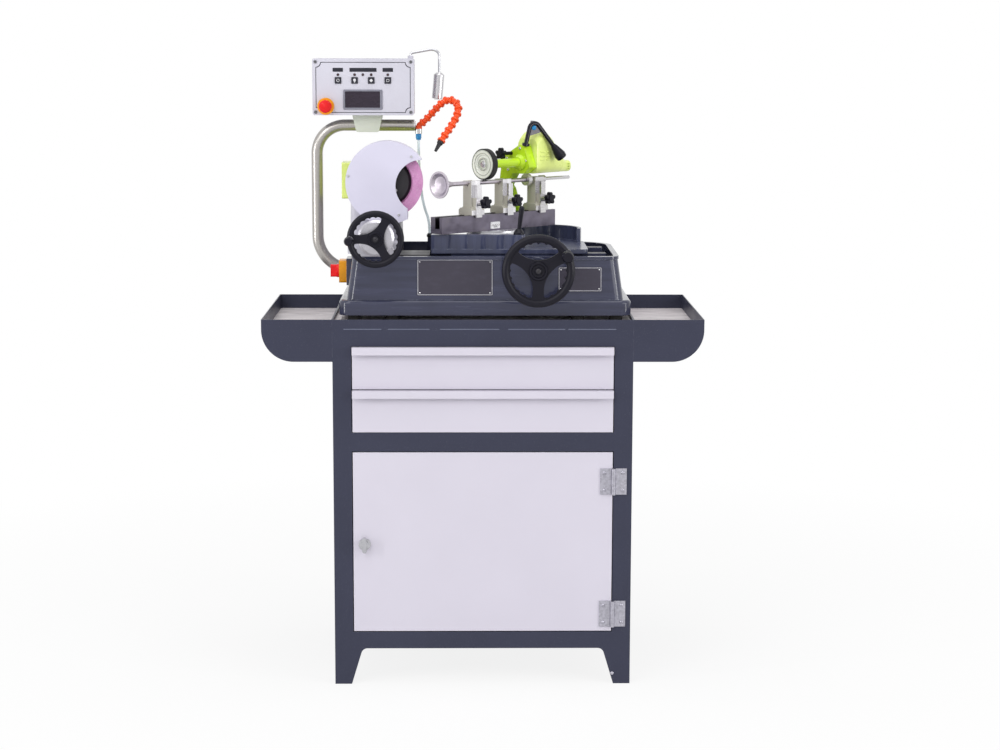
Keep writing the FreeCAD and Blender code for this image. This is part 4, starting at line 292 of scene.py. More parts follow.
def cast_coat(name, colour, roughness=0.2, streak=(0.08, 1.0, 1.0), relief=0.14):
    """Glossy paint on cast iron: soft lumps under the film, long lighter and darker streaks that are painted
    reflections, and edges lightened as painted highlights.
    """
    f = Finish(name)
    lumps = f.noise(48.0, 3.0)
    pits = f.cells(300.0, "SMOOTH_F1")
    sheen_streaks = f.noise(75.0, 4.0, streak)
    cloud = f.noise(5.0, 3.0)
    # The sheen streaks lighten and darken the coat: painted reflections of the glossy paint.
    tint = f.mix(f.between(sheen_streaks, 0.3, 0.72), rgba(colour, 0.78), rgba(colour, 1.2))
    tint = f.mix(f.between(cloud, 0.4, 0.72, 0.0, 0.45), tint, rgba(colour, 1.55))
    # Edges lightened towards pale blue: painted highlights, the glints along flanges and corners.
    edge = f.edges(2.0 * MM, 0.02, 0.25) * f.between(f.noise(38.0, 5.0), 0.38, 0.62)
    tint = f.mix(edge * 0.7, tint, rgba((0.36, 0.39, 0.52)))
    rough = f.between(sheen_streaks, 0.3, 0.7, roughness - 0.05, roughness + 0.1)
    height = lumps * 0.8 + pits * 0.2
    normal = f.bump(height, relief, 0.6 * MM, f.rounded_normal(2.2 * MM))
    return f.surface(Base_Color=tint, Roughness=rough, Normal=normal, Specular_IOR_Level=0.2, Coat_Weight=0.5,
                     Coat_Roughness=0.07)


def brushed_metal(name, colour, roughness=0.34, stretch=(1.0, 1.0, 30.0), turn=0.0, blotch=0.12,
                  fine=60.0, depth=0.18):
    """Bare metal with fine marks all one way, and a few blotches from handling."""
    f = Finish(name)
    marks = f.noise(fine, 3.0, stretch, turn)
    hands = f.noise(22.0, 4.0)
    tint = f.mix(f.between(marks, 0.3, 0.7), rgba(colour, 1 - depth), rgba(colour, 1 + 0.55 * depth))
    tint = f.mix(f.between(hands, 0.55, 0.75, 0.0, blotch), tint, rgba((0.24, 0.22, 0.2)))
    rough = f.between(marks, 0.3, 0.7, roughness - 0.4 * depth, roughness + 0.5 * depth) \
        + f.between(hands, 0.5, 0.8, 0.0, blotch)
    normal = f.bump(marks, 0.25, 0.4 * depth * MM, f.rounded_normal(0.6 * MM))
    return f.surface(Base_Color=tint, Roughness=rough, Metallic=1.0, Normal=normal)


def lathe_turned(name, colour, origin, axis, roughness=0.3, pitch=0.9 * MM, metal=1.0):
    """Metal with the fine rings that a lathe leaves round an axis."""
    f = Finish(name)
    out = f.from_axis(tuple(c * MM for c in origin), axis)
    ring = f.node("ShaderNodeMath", {"operation": "SINE"}, {0: out * (2 * math.pi / pitch)})
    stain = f.noise(30.0, 4.0)
    tint = f.mix(f.between(ring, -1.0, 1.0, 0.0, 0.5), rgba(colour, 1.08), rgba(colour, 0.84))
    tint = f.mix(f.between(stain, 0.52, 0.75, 0.0, 0.25), tint, rgba(colour, 0.6))
    rough = f.between(ring, -1.0, 1.0, roughness, roughness + 0.1) + f.between(stain, 0.4, 0.8, 0.0, 0.15)
    normal = f.bump(ring, 0.12, 0.06 * MM, f.rounded_normal(0.5 * MM))
    return f.surface(Base_Color=tint, Roughness=rough, Metallic=metal, Normal=normal)


def zinc_plate(name, colour):
    """Zinc-plated sheet with a faint spangle."""
    f = Finish(name)
    spangle = f.cells(240.0, "F1", 1)
    grey = f.node("ShaderNodeRGBToBW", {}, {0: spangle})
    smear = f.noise(70.0, 3.0, (1.0, 1.0, 0.25))
    tint = f.mix(grey, rgba(colour, 0.8), rgba(colour, 1.15))
    rough = f.between(smear, 0.3, 0.7, 0.26, 0.46)
    normal = f.bump(grey, 0.12, 0.05 * MM, f.rounded_normal(0.5 * MM))
    return f.surface(Base_Color=tint, Roughness=rough, Metallic=0.9, Normal=normal)


def polished(name, colour, roughness=0.1):
    """Chrome with hairline scratches and finger marks."""
    f = Finish(name)
    hair = f.noise(800.0, 2.0, (0.08, 1.0, 0.3))
    touch = f.noise(45.0, 3.0)
    tint = f.mix(f.between(touch, 0.4, 0.7), rgba(colour), rgba(colour, 0.85))
    rough = f.between(hair, 0.35, 0.7, roughness, roughness + 0.1) + f.between(touch, 0.5, 0.75, 0.0, 0.12)
    normal = f.bump(hair, 0.06, 0.03 * MM, f.rounded_normal(0.5 * MM))
    return f.surface(Base_Color=tint, Roughness=rough, Metallic=1.0, Normal=normal)


def moulded(name, colour, roughness=0.42, grain=0.3, size=1500.0, coat=0.0):
    """Moulded plastic: eroded grain, and a polish where hands touch it."""
    f = Finish(name)
    skin = f.noise(size, 2.0)
    worn = f.noise(28.0, 3.0)
    tint = f.mix(f.between(worn, 0.35, 0.7), rgba(colour, 0.85), rgba(colour, 1.12))
    polish = f.between(worn, 0.35, 0.7, roughness + 0.07, roughness - 0.07)
    rough = polish + f.between(skin, 0.3, 0.7, -0.05, 0.05)
    normal = f.bump(skin, grain, 0.1 * MM, f.rounded_normal(0.8 * MM))
    return f.surface(Base_Color=tint, Roughness=rough, Normal=normal, Specular_IOR_Level=0.22,
                     Coat_Weight=coat, Coat_Roughness=0.12)


def gloss_enamel(name, colour, roughness=0.22):
    """Sprayed enamel on a casting: high gloss over a soft waviness, darker in its clouds."""
    f = Finish(name)
    wave = f.noise(120.0, 2.0)
    cloud = f.noise(18.0, 4.0)
    tint = f.mix(f.between(cloud, 0.35, 0.7), rgba(colour, 0.88), rgba(colour, 1.06))
    # Edges mixed towards pale yellow-lime: a painted highlight of the glare on the enamel.
    edge = f.edges(1.2 * MM) * f.between(f.noise(70.0, 4.0), 0.45, 0.65)
    tint = f.mix(edge * 0.3, tint, rgba((0.85, 0.9, 0.5)))
    rough = f.between(cloud, 0.3, 0.7, roughness - 0.04, roughness + 0.1)
    normal = f.bump(wave, 0.2, 0.3 * MM, f.rounded_normal(1.4 * MM))
    return f.surface(Base_Color=tint, Roughness=rough, Normal=normal, Specular_IOR_Level=0.3, Coat_Weight=0.3,
                     Coat_Roughness=0.08)


def bonded_grit(name, colour):
    """Pink abrasive: pale and dark grains in a matt bond, worn smoother where it cuts."""
    f = Finish(name)
    grain = f.cells(900.0, "F1", 1)
    grey = f.node("ShaderNodeRGBToBW", {}, {0: grain})
    body = f.noise(55.0, 4.0)
    tint = f.mix(f.between(body, 0.35, 0.7), rgba(colour, 0.9), rgba(colour, 1.08))
    tint = f.mix(f.between(grey, 0.7, 0.9, 0.0, 0.55), tint, rgba((0.92, 0.78, 0.88)))
    tint = f.mix(f.between(grey, 0.25, 0.08, 0.0, 0.5), tint, rgba((0.4, 0.13, 0.3)))
    height = f.cells(900.0)
    normal = f.bump(height, 0.7, 0.35 * MM)
    return f.surface(Base_Color=tint, Roughness=0.86, Normal=normal)


def rubber(name, colour):
    """Matt rubber with a bloom of pale dust."""
    f = Finish(name)
    bloom = f.noise(40.0, 5.0)
    skin = f.noise(1100.0, 2.0)
    tint = f.mix(f.between(bloom, 0.45, 0.75, 0.0, 0.35), rgba(colour), rgba((0.12, 0.115, 0.11)))
    rough = f.between(bloom, 0.3, 0.7, 0.62, 0.82)
    normal = f.bump(skin, 0.35, 0.12 * MM, f.rounded_normal(0.7 * MM))
    return f.surface(Base_Color=tint, Roughness=rough, Normal=normal, Specular_IOR_Level=0.25)


def scuffed_floor(name, colour):
    """Pale sheet at the bottom of a tray, scuffed and dusty."""
    f = Finish(name)
    scuff = f.noise(38.0, 6.0, (0.35, 1.0, 1.0))
    dust = f.noise(9.0, 5.0)
    tint = f.mix(f.between(scuff, 0.38, 0.66), rgba(colour, 0.82), rgba(colour, 1.06))
    tint = f.mix(f.between(dust, 0.5, 0.75, 0.0, 0.2), tint, rgba((0.46, 0.42, 0.42)))
    rough = f.between(scuff, 0.3, 0.7, 0.3, 0.5)
    normal = f.bump(scuff, 0.15, 0.1 * MM)
    return f.surface(Base_Color=tint, Roughness=rough, Normal=normal)


def printed_foil(name, colour, roughness=0.3):
    """Thin printed plate with a satin film and a few rubs."""
    f = Finish(name)
    rub = f.noise(120.0, 5.0, (0.4, 1.0, 1.0))
    tint = f.mix(f.between(rub, 0.5, 0.75, 0.0, 0.3), rgba(colour), rgba(colour, 1.5))
    rough = f.between(rub, 0.3, 0.7, roughness, roughness + 0.15)
    normal = f.bump(rub, 0.05, 0.03 * MM)
    return f.surface(Base_Color=tint, Roughness=rough, Normal=normal, Specular_IOR_Level=0.25)


def clear_tube(name, colour):
    """Soft clear tube, faintly tinted, with water marks inside."""
    f = Finish(name)
    marks = f.noise(90.0, 4.0, (1.0, 1.0, 0.3))
    tint = f.mix(f.between(marks, 0.4, 0.7), rgba(colour, 0.8), rgba(colour, 1.1))
    rough = f.between(marks, 0.3, 0.7, 0.12, 0.28)
    return f.surface(Base_Color=tint, Roughness=rough, Transmission_Weight=0.7, IOR=1.35)


def lamp_lens(name, colour):
    """Ribbed amber-brown lens over an unlit bulb."""
    f = Finish(name)
    ring = f.noise(300.0, 2.0)
    tint = f.mix(ring, rgba(colour, 0.7), rgba(colour, 1.2))
    normal = f.bump(ring, 0.3, 0.2 * MM)
    return f.surface(Base_Color=tint, Roughness=0.2, Normal=normal, Coat_Weight=0.5, Coat_Roughness=0.1)


# Shapes: each gives vertices in millimetres and faces

class Plane:
    """A flat place to draw on: an origin and two directions, seen along its outward normal."""

    def __init__(self, origin, across, up):
        self.origin = Vector(origin)
        self.across = Vector(across).normalized()
        self.up = Vector(up).normalized()
        self.out = self.across.cross(self.up)

    def at(self, u, v, w=0.0):
        return self.origin + self.across * u + self.up * v + self.out * w


def front_plane(y):
    return Plane((0.0, y, 0.0), (1.0, 0.0, 0.0), (0.0, 0.0, 1.0))


def on_rail(a, y, z):
    """A place on the work head, given along the rail, across it and up."""
    turned = Matrix.Rotation(RAIL_ANGLE, 3, "Z") @ Vector((a, y, 0.0))
    return SWIVEL + turned + Vector((0.0, 0.0, z))


def along_rail(a, y, z):
    return Matrix.Rotation(RAIL_ANGLE, 3, "Z") @ Vector((a, y, z))


def rounded(u0, u1, v0, v1, radius, steps=4):
    """Outline of a rectangle with rounded corners, anticlockwise."""
    points = []
    centres = ((u1 - radius, v0 + radius, -90), (u1 - radius, v1 - radius, 0), (u0 + radius, v1 - radius, 90),
               (u0 + radius, v0 + radius, 180))
    for u, v, start in centres:
        for i in range(steps + 1):
            turn = math.radians(start + 90.0 * i / steps)
            points.append((u + radius * math.cos(turn), v + radius * math.sin(turn)))
    return points


def notched(u0, u1, v0, v1, radius, steps=6):
    """Outline of a rectangle whose corners are scooped out round the screws, anticlockwise."""
    points = []
    centres = ((u1, v0, 180, 90), (u1, v1, 270, 180), (u0, v1, 360, 270), (u0, v0, 90, 0))
    for u, v, start, end in centres:
        for i in range(steps + 1):
            turn = math.radians(start + (end - start) * i / steps)
            points.append((u + radius * math.cos(turn), v + radius * math.sin(turn)))
    return points


def inset(box, by):
    """The same rectangle, smaller by so much on each side."""
    u0, u1, v0, v1 = box
    return u0 + by, u1 - by, v0 + by, v1 - by


def around(u, v, across, up):
    """A rectangle about its middle."""
    return u - across / 2, u + across / 2, v - up / 2, v + up / 2


def circle(u, v, radius, steps=20):
    return [(u + radius * math.cos(2 * math.pi * i / steps), v + radius * math.sin(2 * math.pi * i / steps))
            for i in range(steps)]


def slab(points, plane, low, high):
    """Flat plate of that outline, from low to high above the plane."""
    count = len(points)
    verts = [plane.at(u, v, low) for u, v in points] + [plane.at(u, v, high) for u, v in points]
    faces = [tuple(reversed(range(count))), tuple(range(count, 2 * count))]
    for i in range(count):
        j = (i + 1) % count
        faces.append((i, j, count + j, count + i))
    return verts, faces


def band(outer, inner, plane, low, high):
    """Flat frame between two outlines with the same number of points."""
    count = len(outer)
    verts = []
    for ring, level in ((outer, low), (inner, low), (inner, high), (outer, high)):
        verts += [plane.at(u, v, level) for u, v in ring]
    faces = []
    for k in range(4):
        for i in range(count):
            j = (i + 1) % count
            a, b = k * count, ((k + 1) % 4) * count
            faces.append((a + i, b + i, b + j, a + j))
    return verts, faces


def lathe(profile, origin, axis, segments=28, hexed=()):
    """Turned shape; profile gives radius and height, and rings listed in hexed are six-sided."""
    axis = Vector(axis).normalized()
    side = axis.orthogonal().normalized()
    other = axis.cross(side)
    verts = []
    faces = []
    rings = []
    for k, (radius, height) in enumerate(profile):
        centre = Vector(origin) + axis * height
        if radius == 0:
            rings.append([len(verts)] * segments)
            verts.append(centre)
            continue
        ring = []
        for i in range(segments):
            turn = 2 * math.pi * i / segments
            reach = radius
            if k in hexed:
                reach = radius * math.cos(math.pi / 6) / math.cos((turn % (math.pi / 3)) - math.pi / 6)
            ring.append(len(verts))
            verts.append(centre + (side * math.cos(turn) + other * math.sin(turn)) * reach)
        rings.append(ring)
    for lower, upper in zip(rings, rings[1:]):
        for i in range(segments):
            j = (i + 1) % segments
            face = []
            for index in (lower[i], lower[j], upper[j], upper[i]):
                if index not in face:
                    face.append(index)
            if len(face) > 2:
                faces.append(tuple(face))
    return verts, faces


def socket_screw(origin, axis, radius, height):
    """Screw head with rounded shoulders and a six-sided socket."""
    profile = ((0, -0.5), (radius, -0.5), (radius, 0.65 * height), (0.86 * radius, 0.94 * height),
               (0.7 * radius, height), (0.55 * radius, height), (0.5 * radius, 0.35 * height),
               (0, 0.3 * height))
    return lathe(profile, origin, axis, 24, (5, 6))


def domed_screw(origin, axis, radius, height):
    """Low domed head with a small centre dimple."""
    profile = ((0, -0.4), (radius, -0.4), (radius, 0.2 * height), (0.85 * radius, 0.62 * height),
               (0.55 * radius, 0.92 * height), (0.28 * radius, height), (0.2 * radius, 0.55 * height),
               (0, 0.5 * height))
    return lathe(profile, origin, axis, 20)


def hex_bolt(origin, axis, radius, height):
    """Six-sided bolt head on a washer."""
    profile = ((0, -0.4), (1.5 * radius, -0.4), (1.5 * radius, 1.2), (1.05 * radius, 1.3), (radius, 1.4),
               (radius, height - 0.6), (0.9 * radius, height), (0, height))
    return lathe(profile, origin, axis, 24, (4, 5))


def hinge_screws(x):
    """Screw heads on the hinge leaves, in one upright row."""
    return [domed_screw((x, CABINET_FRONT - HINGE_LEAF, z), FRONT, 4.0, 2.2) for z in HINGE_SCREW_ROWS]


def seat(node, origin, direction):
    """A plane lying on a CAD piece where a line first meets it."""
    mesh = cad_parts[node].data
    corners = [v.co / MM for v in mesh.vertices]
    tree = BVHTree.FromPolygons(corners, [tuple(p.vertices) for p in mesh.polygons])
    spot, normal = tree.ray_cast(Vector(origin), Vector(direction))[:2]
    if spot is None:
        raise RuntimeError("nothing of %s lies that way" % node)
    across = Vector((0.0, 0.0, 1.0)).cross(normal)
    if across.length < 0.01:
        across = Vector((1.0, 0.0, 0.0))
    return Plane(spot, across, normal.cross(across))


def joined(shapes):
    verts = []
    faces = []
    for more_verts, more_faces in shapes:
        start = len(verts)
        verts += more_verts
        faces += [tuple(start + i for i in face) for face in more_faces]
    return verts, faces


def piece(name, body, slot, finish, *shapes, round_edge=0.0):
    """Makes one object from shapes, in its place, and lets it ride on a body."""
    verts, faces = joined(shapes)
    mesh = bpy.data.meshes.new(name)
    mesh.from_pydata([v * MM for v in verts], [], faces)
    work = bmesh.new()
    work.from_mesh(mesh)
    bmesh.ops.recalc_face_normals(work, faces=work.faces)
    work.to_mesh(mesh)
    work.free()
    mesh.shade_smooth()
    mesh.set_sharp_from_angle(angle=SHARP_ANGLE)
    mesh.materials.append(finish)
    obj = bpy.data.objects.new(name, mesh)
    bpy.context.scene.collection.objects.link(obj)
    if round_edge:
        rounding = obj.modifiers.new("rounding", "BEVEL")
        rounding.width = round_edge * MM
        rounding.segments = 2
        rounding.limit_method = "ANGLE"
        rounding.angle_limit = ROUND_ANGLE
    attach(obj, body)
    return obj


def dress(node, finish, *zones):
    """Gives a CAD piece its finish, and each zone of it a finish of its own."""
    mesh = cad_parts[node].data
    mesh.materials.clear()
    mesh.materials.append(finish)
    for face in mesh.polygons:
        face.material_index = 0
    for zone_finish, inside in zones:
        mesh.materials.append(zone_finish)
        place = len(mesh.materials) - 1
        for face in mesh.polygons:
            if inside(face.center / MM, face.normal):
                face.material_index = place


# Settings that a user would change

def tint(name, description, default):
    return bpy.props.FloatVectorProperty(name=name, description=description, subtype="COLOR", size=3,
                                         min=0.0, max=1.0, default=default)


def length(name, description, default):
    return bpy.props.FloatProperty(name=name, description=description, default=default, min=0.0,
                                   subtype="DISTANCE", unit="LENGTH")


def power(name, description, default):
    return bpy.props.FloatProperty(name=name, description=description, default=default, min=0.0,
                                   unit="POWER")


def group(kind, name, description):
    return bpy.props.PointerProperty(type=kind, name=name, description=description)


class StandSettings(bpy.types.PropertyGroup):
    """Colours and small fittings of the cabinet stand."""
    cabinet: tint("Cabinet coat", "Powder coat of the frame and side trays", (0.040, 0.043, 0.073))
    panel: tint("Panel coat", "Coat of the drawers and the door", (0.67, 0.64, 0.73))
    tray_floor: tint("Tray floor", "Scuffed sheet at the bottom of the trays", (0.82, 0.76, 0.78))
    zinc: tint("Zinc", "Plating of the hinges", (0.44, 0.43, 0.49))
    seam: length("Seam height", "Height of the welded seam along the top rail", 0.0018)


class BaseSettings(bpy.types.PropertyGroup):
    """Colours of the trough, the slides and the plates on it."""
    casting: tint("Casting coat", "Paint of the trough", (0.038, 0.041, 0.076))
    carriage: tint("Carriage coat", "Paint of the carriage", (0.048, 0.055, 0.105))
    # Near black, far darker than ground iron is: painted shade for the slides down in the trough.
    painted_shade_iron: tint("Machined iron", "Oiled ground iron of the slides", (0.06, 0.058, 0.066))
    plate: tint("Plate", "Bare plates on the front of the trough", (0.055, 0.050, 0.070))
    border: tint("Plate border", "Thin line round a plate", (0.55, 0.55, 0.60))


class HeadSettings(bpy.types.PropertyGroup):
    """Colours of the grinding head, the work head and the handwheels."""
    guard: tint("Guard coat", "Paint of the wheel guard", (0.70, 0.68, 0.82))
    # Both motors take a paler, yellower lime than the gear case: a painted highlight for the glare on them;
    # gear_lime is the enamel's own colour.
    lime: tint("Lime enamel", "Paint of both motors", (0.80, 0.92, 0.26))
    gear_lime: tint("Gear case enamel", "Paint of the friction drive's gear case", (0.56, 0.84, 0.025))
    grit: tint("Abrasive", "Bonded grit of the wheel", (0.66, 0.29, 0.56))
    black: tint("Black plastic", "Handwheels, levers and knobs", (0.006, 0.0055, 0.012))
    cream: tint("Stand coat", "Paint of the stands on the rail", (0.55, 0.53, 0.46))
    rail: tint("Rail", "Blackened steel of the work rail", (0.155, 0.14, 0.18))
    tick: length("Graduation width", "Width of a line on the dials", 0.0006)


class ControlSettings(bpy.types.PropertyGroup):
    """Colours of the switch box, the coolant arm and the lamp."""
    box: tint("Box coat", "Coat of the switch box", (0.62, 0.61, 0.69))
    line: tint("Print", "Dark print on the lid", (0.022, 0.022, 0.032))
    hose: tint("Coolant arm", "Segments of the coolant arm", (0.93, 0.095, 0.02))
    red: tint("Red", "Stop button and switch knob", (0.80, 0.010, 0.014))
    yellow: tint("Yellow", "Collars of the switches", (0.90, 0.37, 0.01))
    screw: length("Lid screw", "Radius of the lid's screw heads", 0.0036)


class StageSettings(bpy.types.PropertyGroup):
    """Floor, light and camera."""
    floor: tint("Floor", "Pale studio floor", (0.90, 0.90, 0.90))
    key_light: power("Key light", "Power of the large front lamp", 66.0)
    fill_light: power("Fill light", "Power of the side lamp", 40.0)
    strip_light: power("Strip lights", "Power of the tall lamp on the left; the right one is weaker", 30.0)
    top_light: power("Top light", "Power of the lamp overhead", 48.0)
    sky: bpy.props.FloatProperty(name="Sky", description="Even light from all round", default=0.42, min=0.0)
    lens: bpy.props.FloatProperty(name="Lens", description="Focal length of the camera", default=76.8,
                                  min=1.0, unit="CAMERA")


class GrinderSettings(bpy.types.PropertyGroup):
    """All settings of the grinder."""
    stand: group(StandSettings, "Stand", "Cabinet stand")
    base: group(BaseSettings, "Base", "Trough and slides")
    head: group(HeadSettings, "Heads", "Grinding head and work head")
    control: group(ControlSettings, "Control", "Switches, coolant and lamp")
    stage: group(StageSettings, "Stage", "Floor, light and camera")


def settings():
    return bpy.context.scene.grinder


# The pieces

class GRINDER_OT_stand(bpy.types.Operator):
    """Finishes the cabinet frame and trays, and adds the seam, the hinge screws and the leg rivet"""
    bl_idname = "grinder.stand"
    bl_label = "Cabinet stand"

    def execute(self, context):
        look = settings().stand
        coat = sprayed_coat("cabinet_coat", look.cabinet, 0.36, 0.3, (0.4, 0.42, 0.5), 0.3, 0.06)
        floor = scuffed_floor("tray_floor_sheet", look.tray_floor)
        zinc = zinc_plate("hinge_zinc", look.zinc)

        def tray_floor(centre, normal):
            return normal.z > 0.9 and TRAY_FLOOR_LOW < centre.z < TRAY_FLOOR_HIGH

        for node in ("cabinet_body", "side_tray_left", "side_tray_right"):
            dress(node, coat, (floor, tray_floor))
        dress("frame_hinges", zinc)
        # The seam beads take a paler coat than the cabinet: a painted highlight along the fold under the top
        # rail.
        seam_highlight_paint = sprayed_coat("seam_highlight_coat", (0.15, 0.165, 0.24), 0.3)
        face = front_plane(CABINET_FRONT)
        half = look.seam / MM / 2
        seams = [slab(rounded(u0, u1, SEAM_Z - half, SEAM_Z + half, 0.8 * half), face, -0.5, 0.4)
                 for u0, u1 in SEAM_RUNS]
        piece("top_rail_seam_highlight", "stand", "cabinet_paint", seam_highlight_paint, *seams)
        tabs = [slab(rounded(u - 5, u + 5, SEAM_Z - 2.5, SEAM_Z + 3, 2), face, -0.5, 0.35) for u in SEAM_TABS]
        piece("top_rail_tabs", "stand", "cabinet_paint", coat, *tabs, round_edge=0.25)
        piece("frame_hinge_screws", "stand", "galvanised", zinc, *hinge_screws(FRAME_LEAF_X))
        piece("leg_rivet", "stand", "galvanised", zinc, domed_screw(LEG_RIVET, FRONT, 4.0, 2.0))
        return {"FINISHED"}


class GRINDER_OT_drawers(bpy.types.Operator):
    """Finishes the drawers, the door, its hinges and its latch, and adds the screws of its hinges"""
    bl_idname = "grinder.drawers"
    bl_label = "Drawers and door"

    def execute(self, context):
        look = settings().stand
        panel = sprayed_coat("panel_coat", look.panel, 0.4, 0.22, (0.8, 0.79, 0.83), 0.25, 0.015)
        zinc = zinc_plate("door_zinc", look.zinc)
        chrome = polished("latch_chrome", (0.5, 0.5, 0.53), 0.14)
        for node in ("upper_drawer", "lower_drawer", "door_panel"):
            dress(node, panel)
        dress("door_hinges", zinc)
        dress("latch_knob", chrome)
        piece("door_hinge_screws", "door", "galvanised", zinc, *hinge_screws(DOOR_LEAF_X))
        return {"FINISHED"}


class GRINDER_OT_base(bpy.types.Operator):
    """Finishes the trough, its feet and slides, and adds the bare plates on its front"""
    bl_idname = "grinder.base"
    bl_label = "Trough and slides"

    def execute(self, context):
        look = settings().base
        coat = cast_coat("trough_coat", look.casting)
        # The slides and the ground bed faces take the near-black iron: painted shade of the trough's deep
        # inside.
        painted_shade_iron = brushed_metal("slide_iron_painted_shade", look.painted_shade_iron, 0.42, (1.0, 0.05, 1.0))

        def ground_bed(centre, normal):
            return normal.z > 0.9 and abs(centre.z - BED_TOP) < 0.3

        dress("base_casting", coat, (painted_shade_iron, ground_bed))
        dress("base_feet", rubber("foot_rubber", (0.018, 0.018, 0.018)))
        dress("grind_ways", painted_shade_iron)
        dress("feed_bracket", sprayed_coat("bracket_coat", (0.6, 0.59, 0.65), 0.4))
        # Upright streaks on the carriage and lengthwise streaks on its deck: painted reflections.
        deck = cast_coat("deck_coat", look.carriage, 0.3, (0.04, 0.25, 1.0), 0.02)
        dress("carriage", cast_coat("carriage_coat", look.carriage, 0.22, (1.0, 1.0, 0.08), 0.06),
              (deck, lambda c, n: n.z > 0.9))
        foil = printed_foil("plate_foil", look.plate)
        edge = printed_foil("plate_border", look.border, 0.25)
        rivet = polished("plate_rivet", (0.7, 0.7, 0.72), 0.2)
        up = (0.0, math.sin(WALL_LEAN), math.cos(WALL_LEAN))
        wall = Plane(WALL_FOOT, (1.0, 0.0, 0.0), up)
        for name, box in PLATES.items():
            plate = slab(rounded(*box, 2), wall, -0.4, 0.8)
            piece(name + "_plate", "stand", "black_plastic", foil, plate, round_edge=0.2)
            line = band(rounded(*inset(box, 1.2), 1.5), rounded(*inset(box, 2.4), 1.0), wall, 0.7, 0.95)
            piece(name + "_plate_border", "stand", "aluminium", edge, line)
            u0, u1, v0, v1 = inset(box, 6)
            heads = [domed_screw(wall.at(u, v, 0.8), wall.out, 1.7, 1.0) for u in (u0, u1) for v in (v0, v1)]
            piece(name + "_plate_rivets", "stand", "steel", rivet, *heads)
        return {"FINISHED"}


class GRINDER_OT_grinding_head(bpy.types.Operator):
    """Finishes the saddle, motor, guard, wheel and spindle, and adds their screws"""
    bl_idname = "grinder.grinding_head"
    bl_label = "Grinding head"

    def execute(self, context):
        look = settings().head
        x, z = GRIND_AXIS
        dress("grind_saddle", sprayed_coat("column_coat", (0.60, 0.59, 0.66), 0.4))
        # The motor's pale lime is a painted highlight; its enamel is the gear case's lime.
        dress("grind_motor", gloss_enamel("motor_enamel_painted_highlight", look.lime))
        dress("wheel_guard", sprayed_coat("guard_coat", look.guard, 0.36, 0.2, (0.85, 0.84, 0.9), 0.3))
        dress("grinding_wheel", bonded_grit("wheel_grit", look.grit))
        dark = lathe_turned("spindle_steel", (0.035, 0.033, 0.038), (x, 0, z), (0, 1, 0), 0.38, 0.9 * MM, 0.6)
        dress("spindle", dark)
        steel = polished("guard_screw_steel", (0.62, 0.62, 0.64), 0.2)
        heads = [socket_screw((u, GUARD_FRONT, v), FRONT, 3.0, 2.4) for u, v in GUARD_SCREWS]
        piece("guard_screws", "grind_head", "steel", steel, *heads)
        heads = []
        for i in range(4):
            turn = math.radians(45 + 90 * i)
            u = x + FLANGE_SCREW_CIRCLE * math.cos(turn)
            v = z + FLANGE_SCREW_CIRCLE * math.sin(turn)
            heads.append(socket_screw((u, FLANGE_FRONT, v), FRONT, 4.0, 3.0))
        piece("flange_screws", "wheel_spindle", "steel", steel, *heads)
        return {"FINISHED"}


class GRINDER_OT_handwheels(bpy.types.Operator):
    """Finishes both handwheels with their grips, shafts and the feed dial, and adds its graduations"""
    bl_idname = "grinder.handwheels"
    bl_label = "Handwheels"

    def execute(self, context):
        look = settings().head
        black = moulded("handwheel_black", look.black, 0.4, 0.35, 1200.0)
        x, z = FEED_AXIS
        bright = lathe_turned("dial_metal", (0.50, 0.49, 0.53), (x, 0, z), (0, 1, 0), 0.22)
        shaft = brushed_metal("shaft_steel", (0.5, 0.5, 0.52), 0.3)
        collar = brushed_metal("grip_collar", (0.7, 0.7, 0.73), 0.3)

        def dial(centre, normal):
            outside = math.hypot(centre.x - x, centre.z - z) > FEED_SHAFT_RADIUS
            return outside and centre.y < DIAL_BACK + 0.3

        dress("left_handwheel", black)
        dress("right_handwheel", black)
        dress("feed_screw", shaft, (bright, dial))
        dress("pinion_shaft", shaft)
        for node in ("left_grip", "right_grip"):
            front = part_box(node)[0][1] / MM
            dress(node, black, (collar, lambda c, n, edge=front + GRIP_LENGTH: c.y > edge))
        dark = brushed_metal("hub_screw_steel", (0.06, 0.058, 0.065), 0.36)
        for body, node, place in (("feed_wheel", "left_handwheel", FEED_AXIS),
                                  ("carriage_wheel", "right_handwheel", PINION_AXIS)):
            hub = seat(node, (place[0], BEFORE_WHEELS, place[1]), (0, 1, 0)).origin
            washer = lathe(((0, -0.4), (5.6, -0.4), (5.6, 1.0), (5.0, 1.4), (0, 1.4)), hub, FRONT, 28)
            head = socket_screw(hub - Vector((0, 1.4, 0)), FRONT, 3.6, 3.0)
            piece(node + "_screw", body, "steel", dark, washer, head)
        marks = []
        half = look.tick / MM / 2
        for i in range(DIAL_MARKS):
            turn = 2 * math.pi * i / DIAL_MARKS
            reach = 9.0 if i % 5 == 0 else 5.5
            out = Vector((math.cos(turn), 0.0, math.sin(turn)))
            root = Vector((x, DIAL_BACK - 1.0, z)) + out * DIAL_RADIUS
            rim = Plane(root, FRONT, out.cross(Vector(FRONT)))
            marks.append(slab([(0, -half), (reach, -half), (reach, half), (0, half)], rim, -0.2, 0.12))
        ink = printed_foil("graduation_black", (0.03, 0.03, 0.03))
        piece("dial_graduations", "feed_wheel", "black_plastic", ink, *marks)
        return {"FINISHED"}


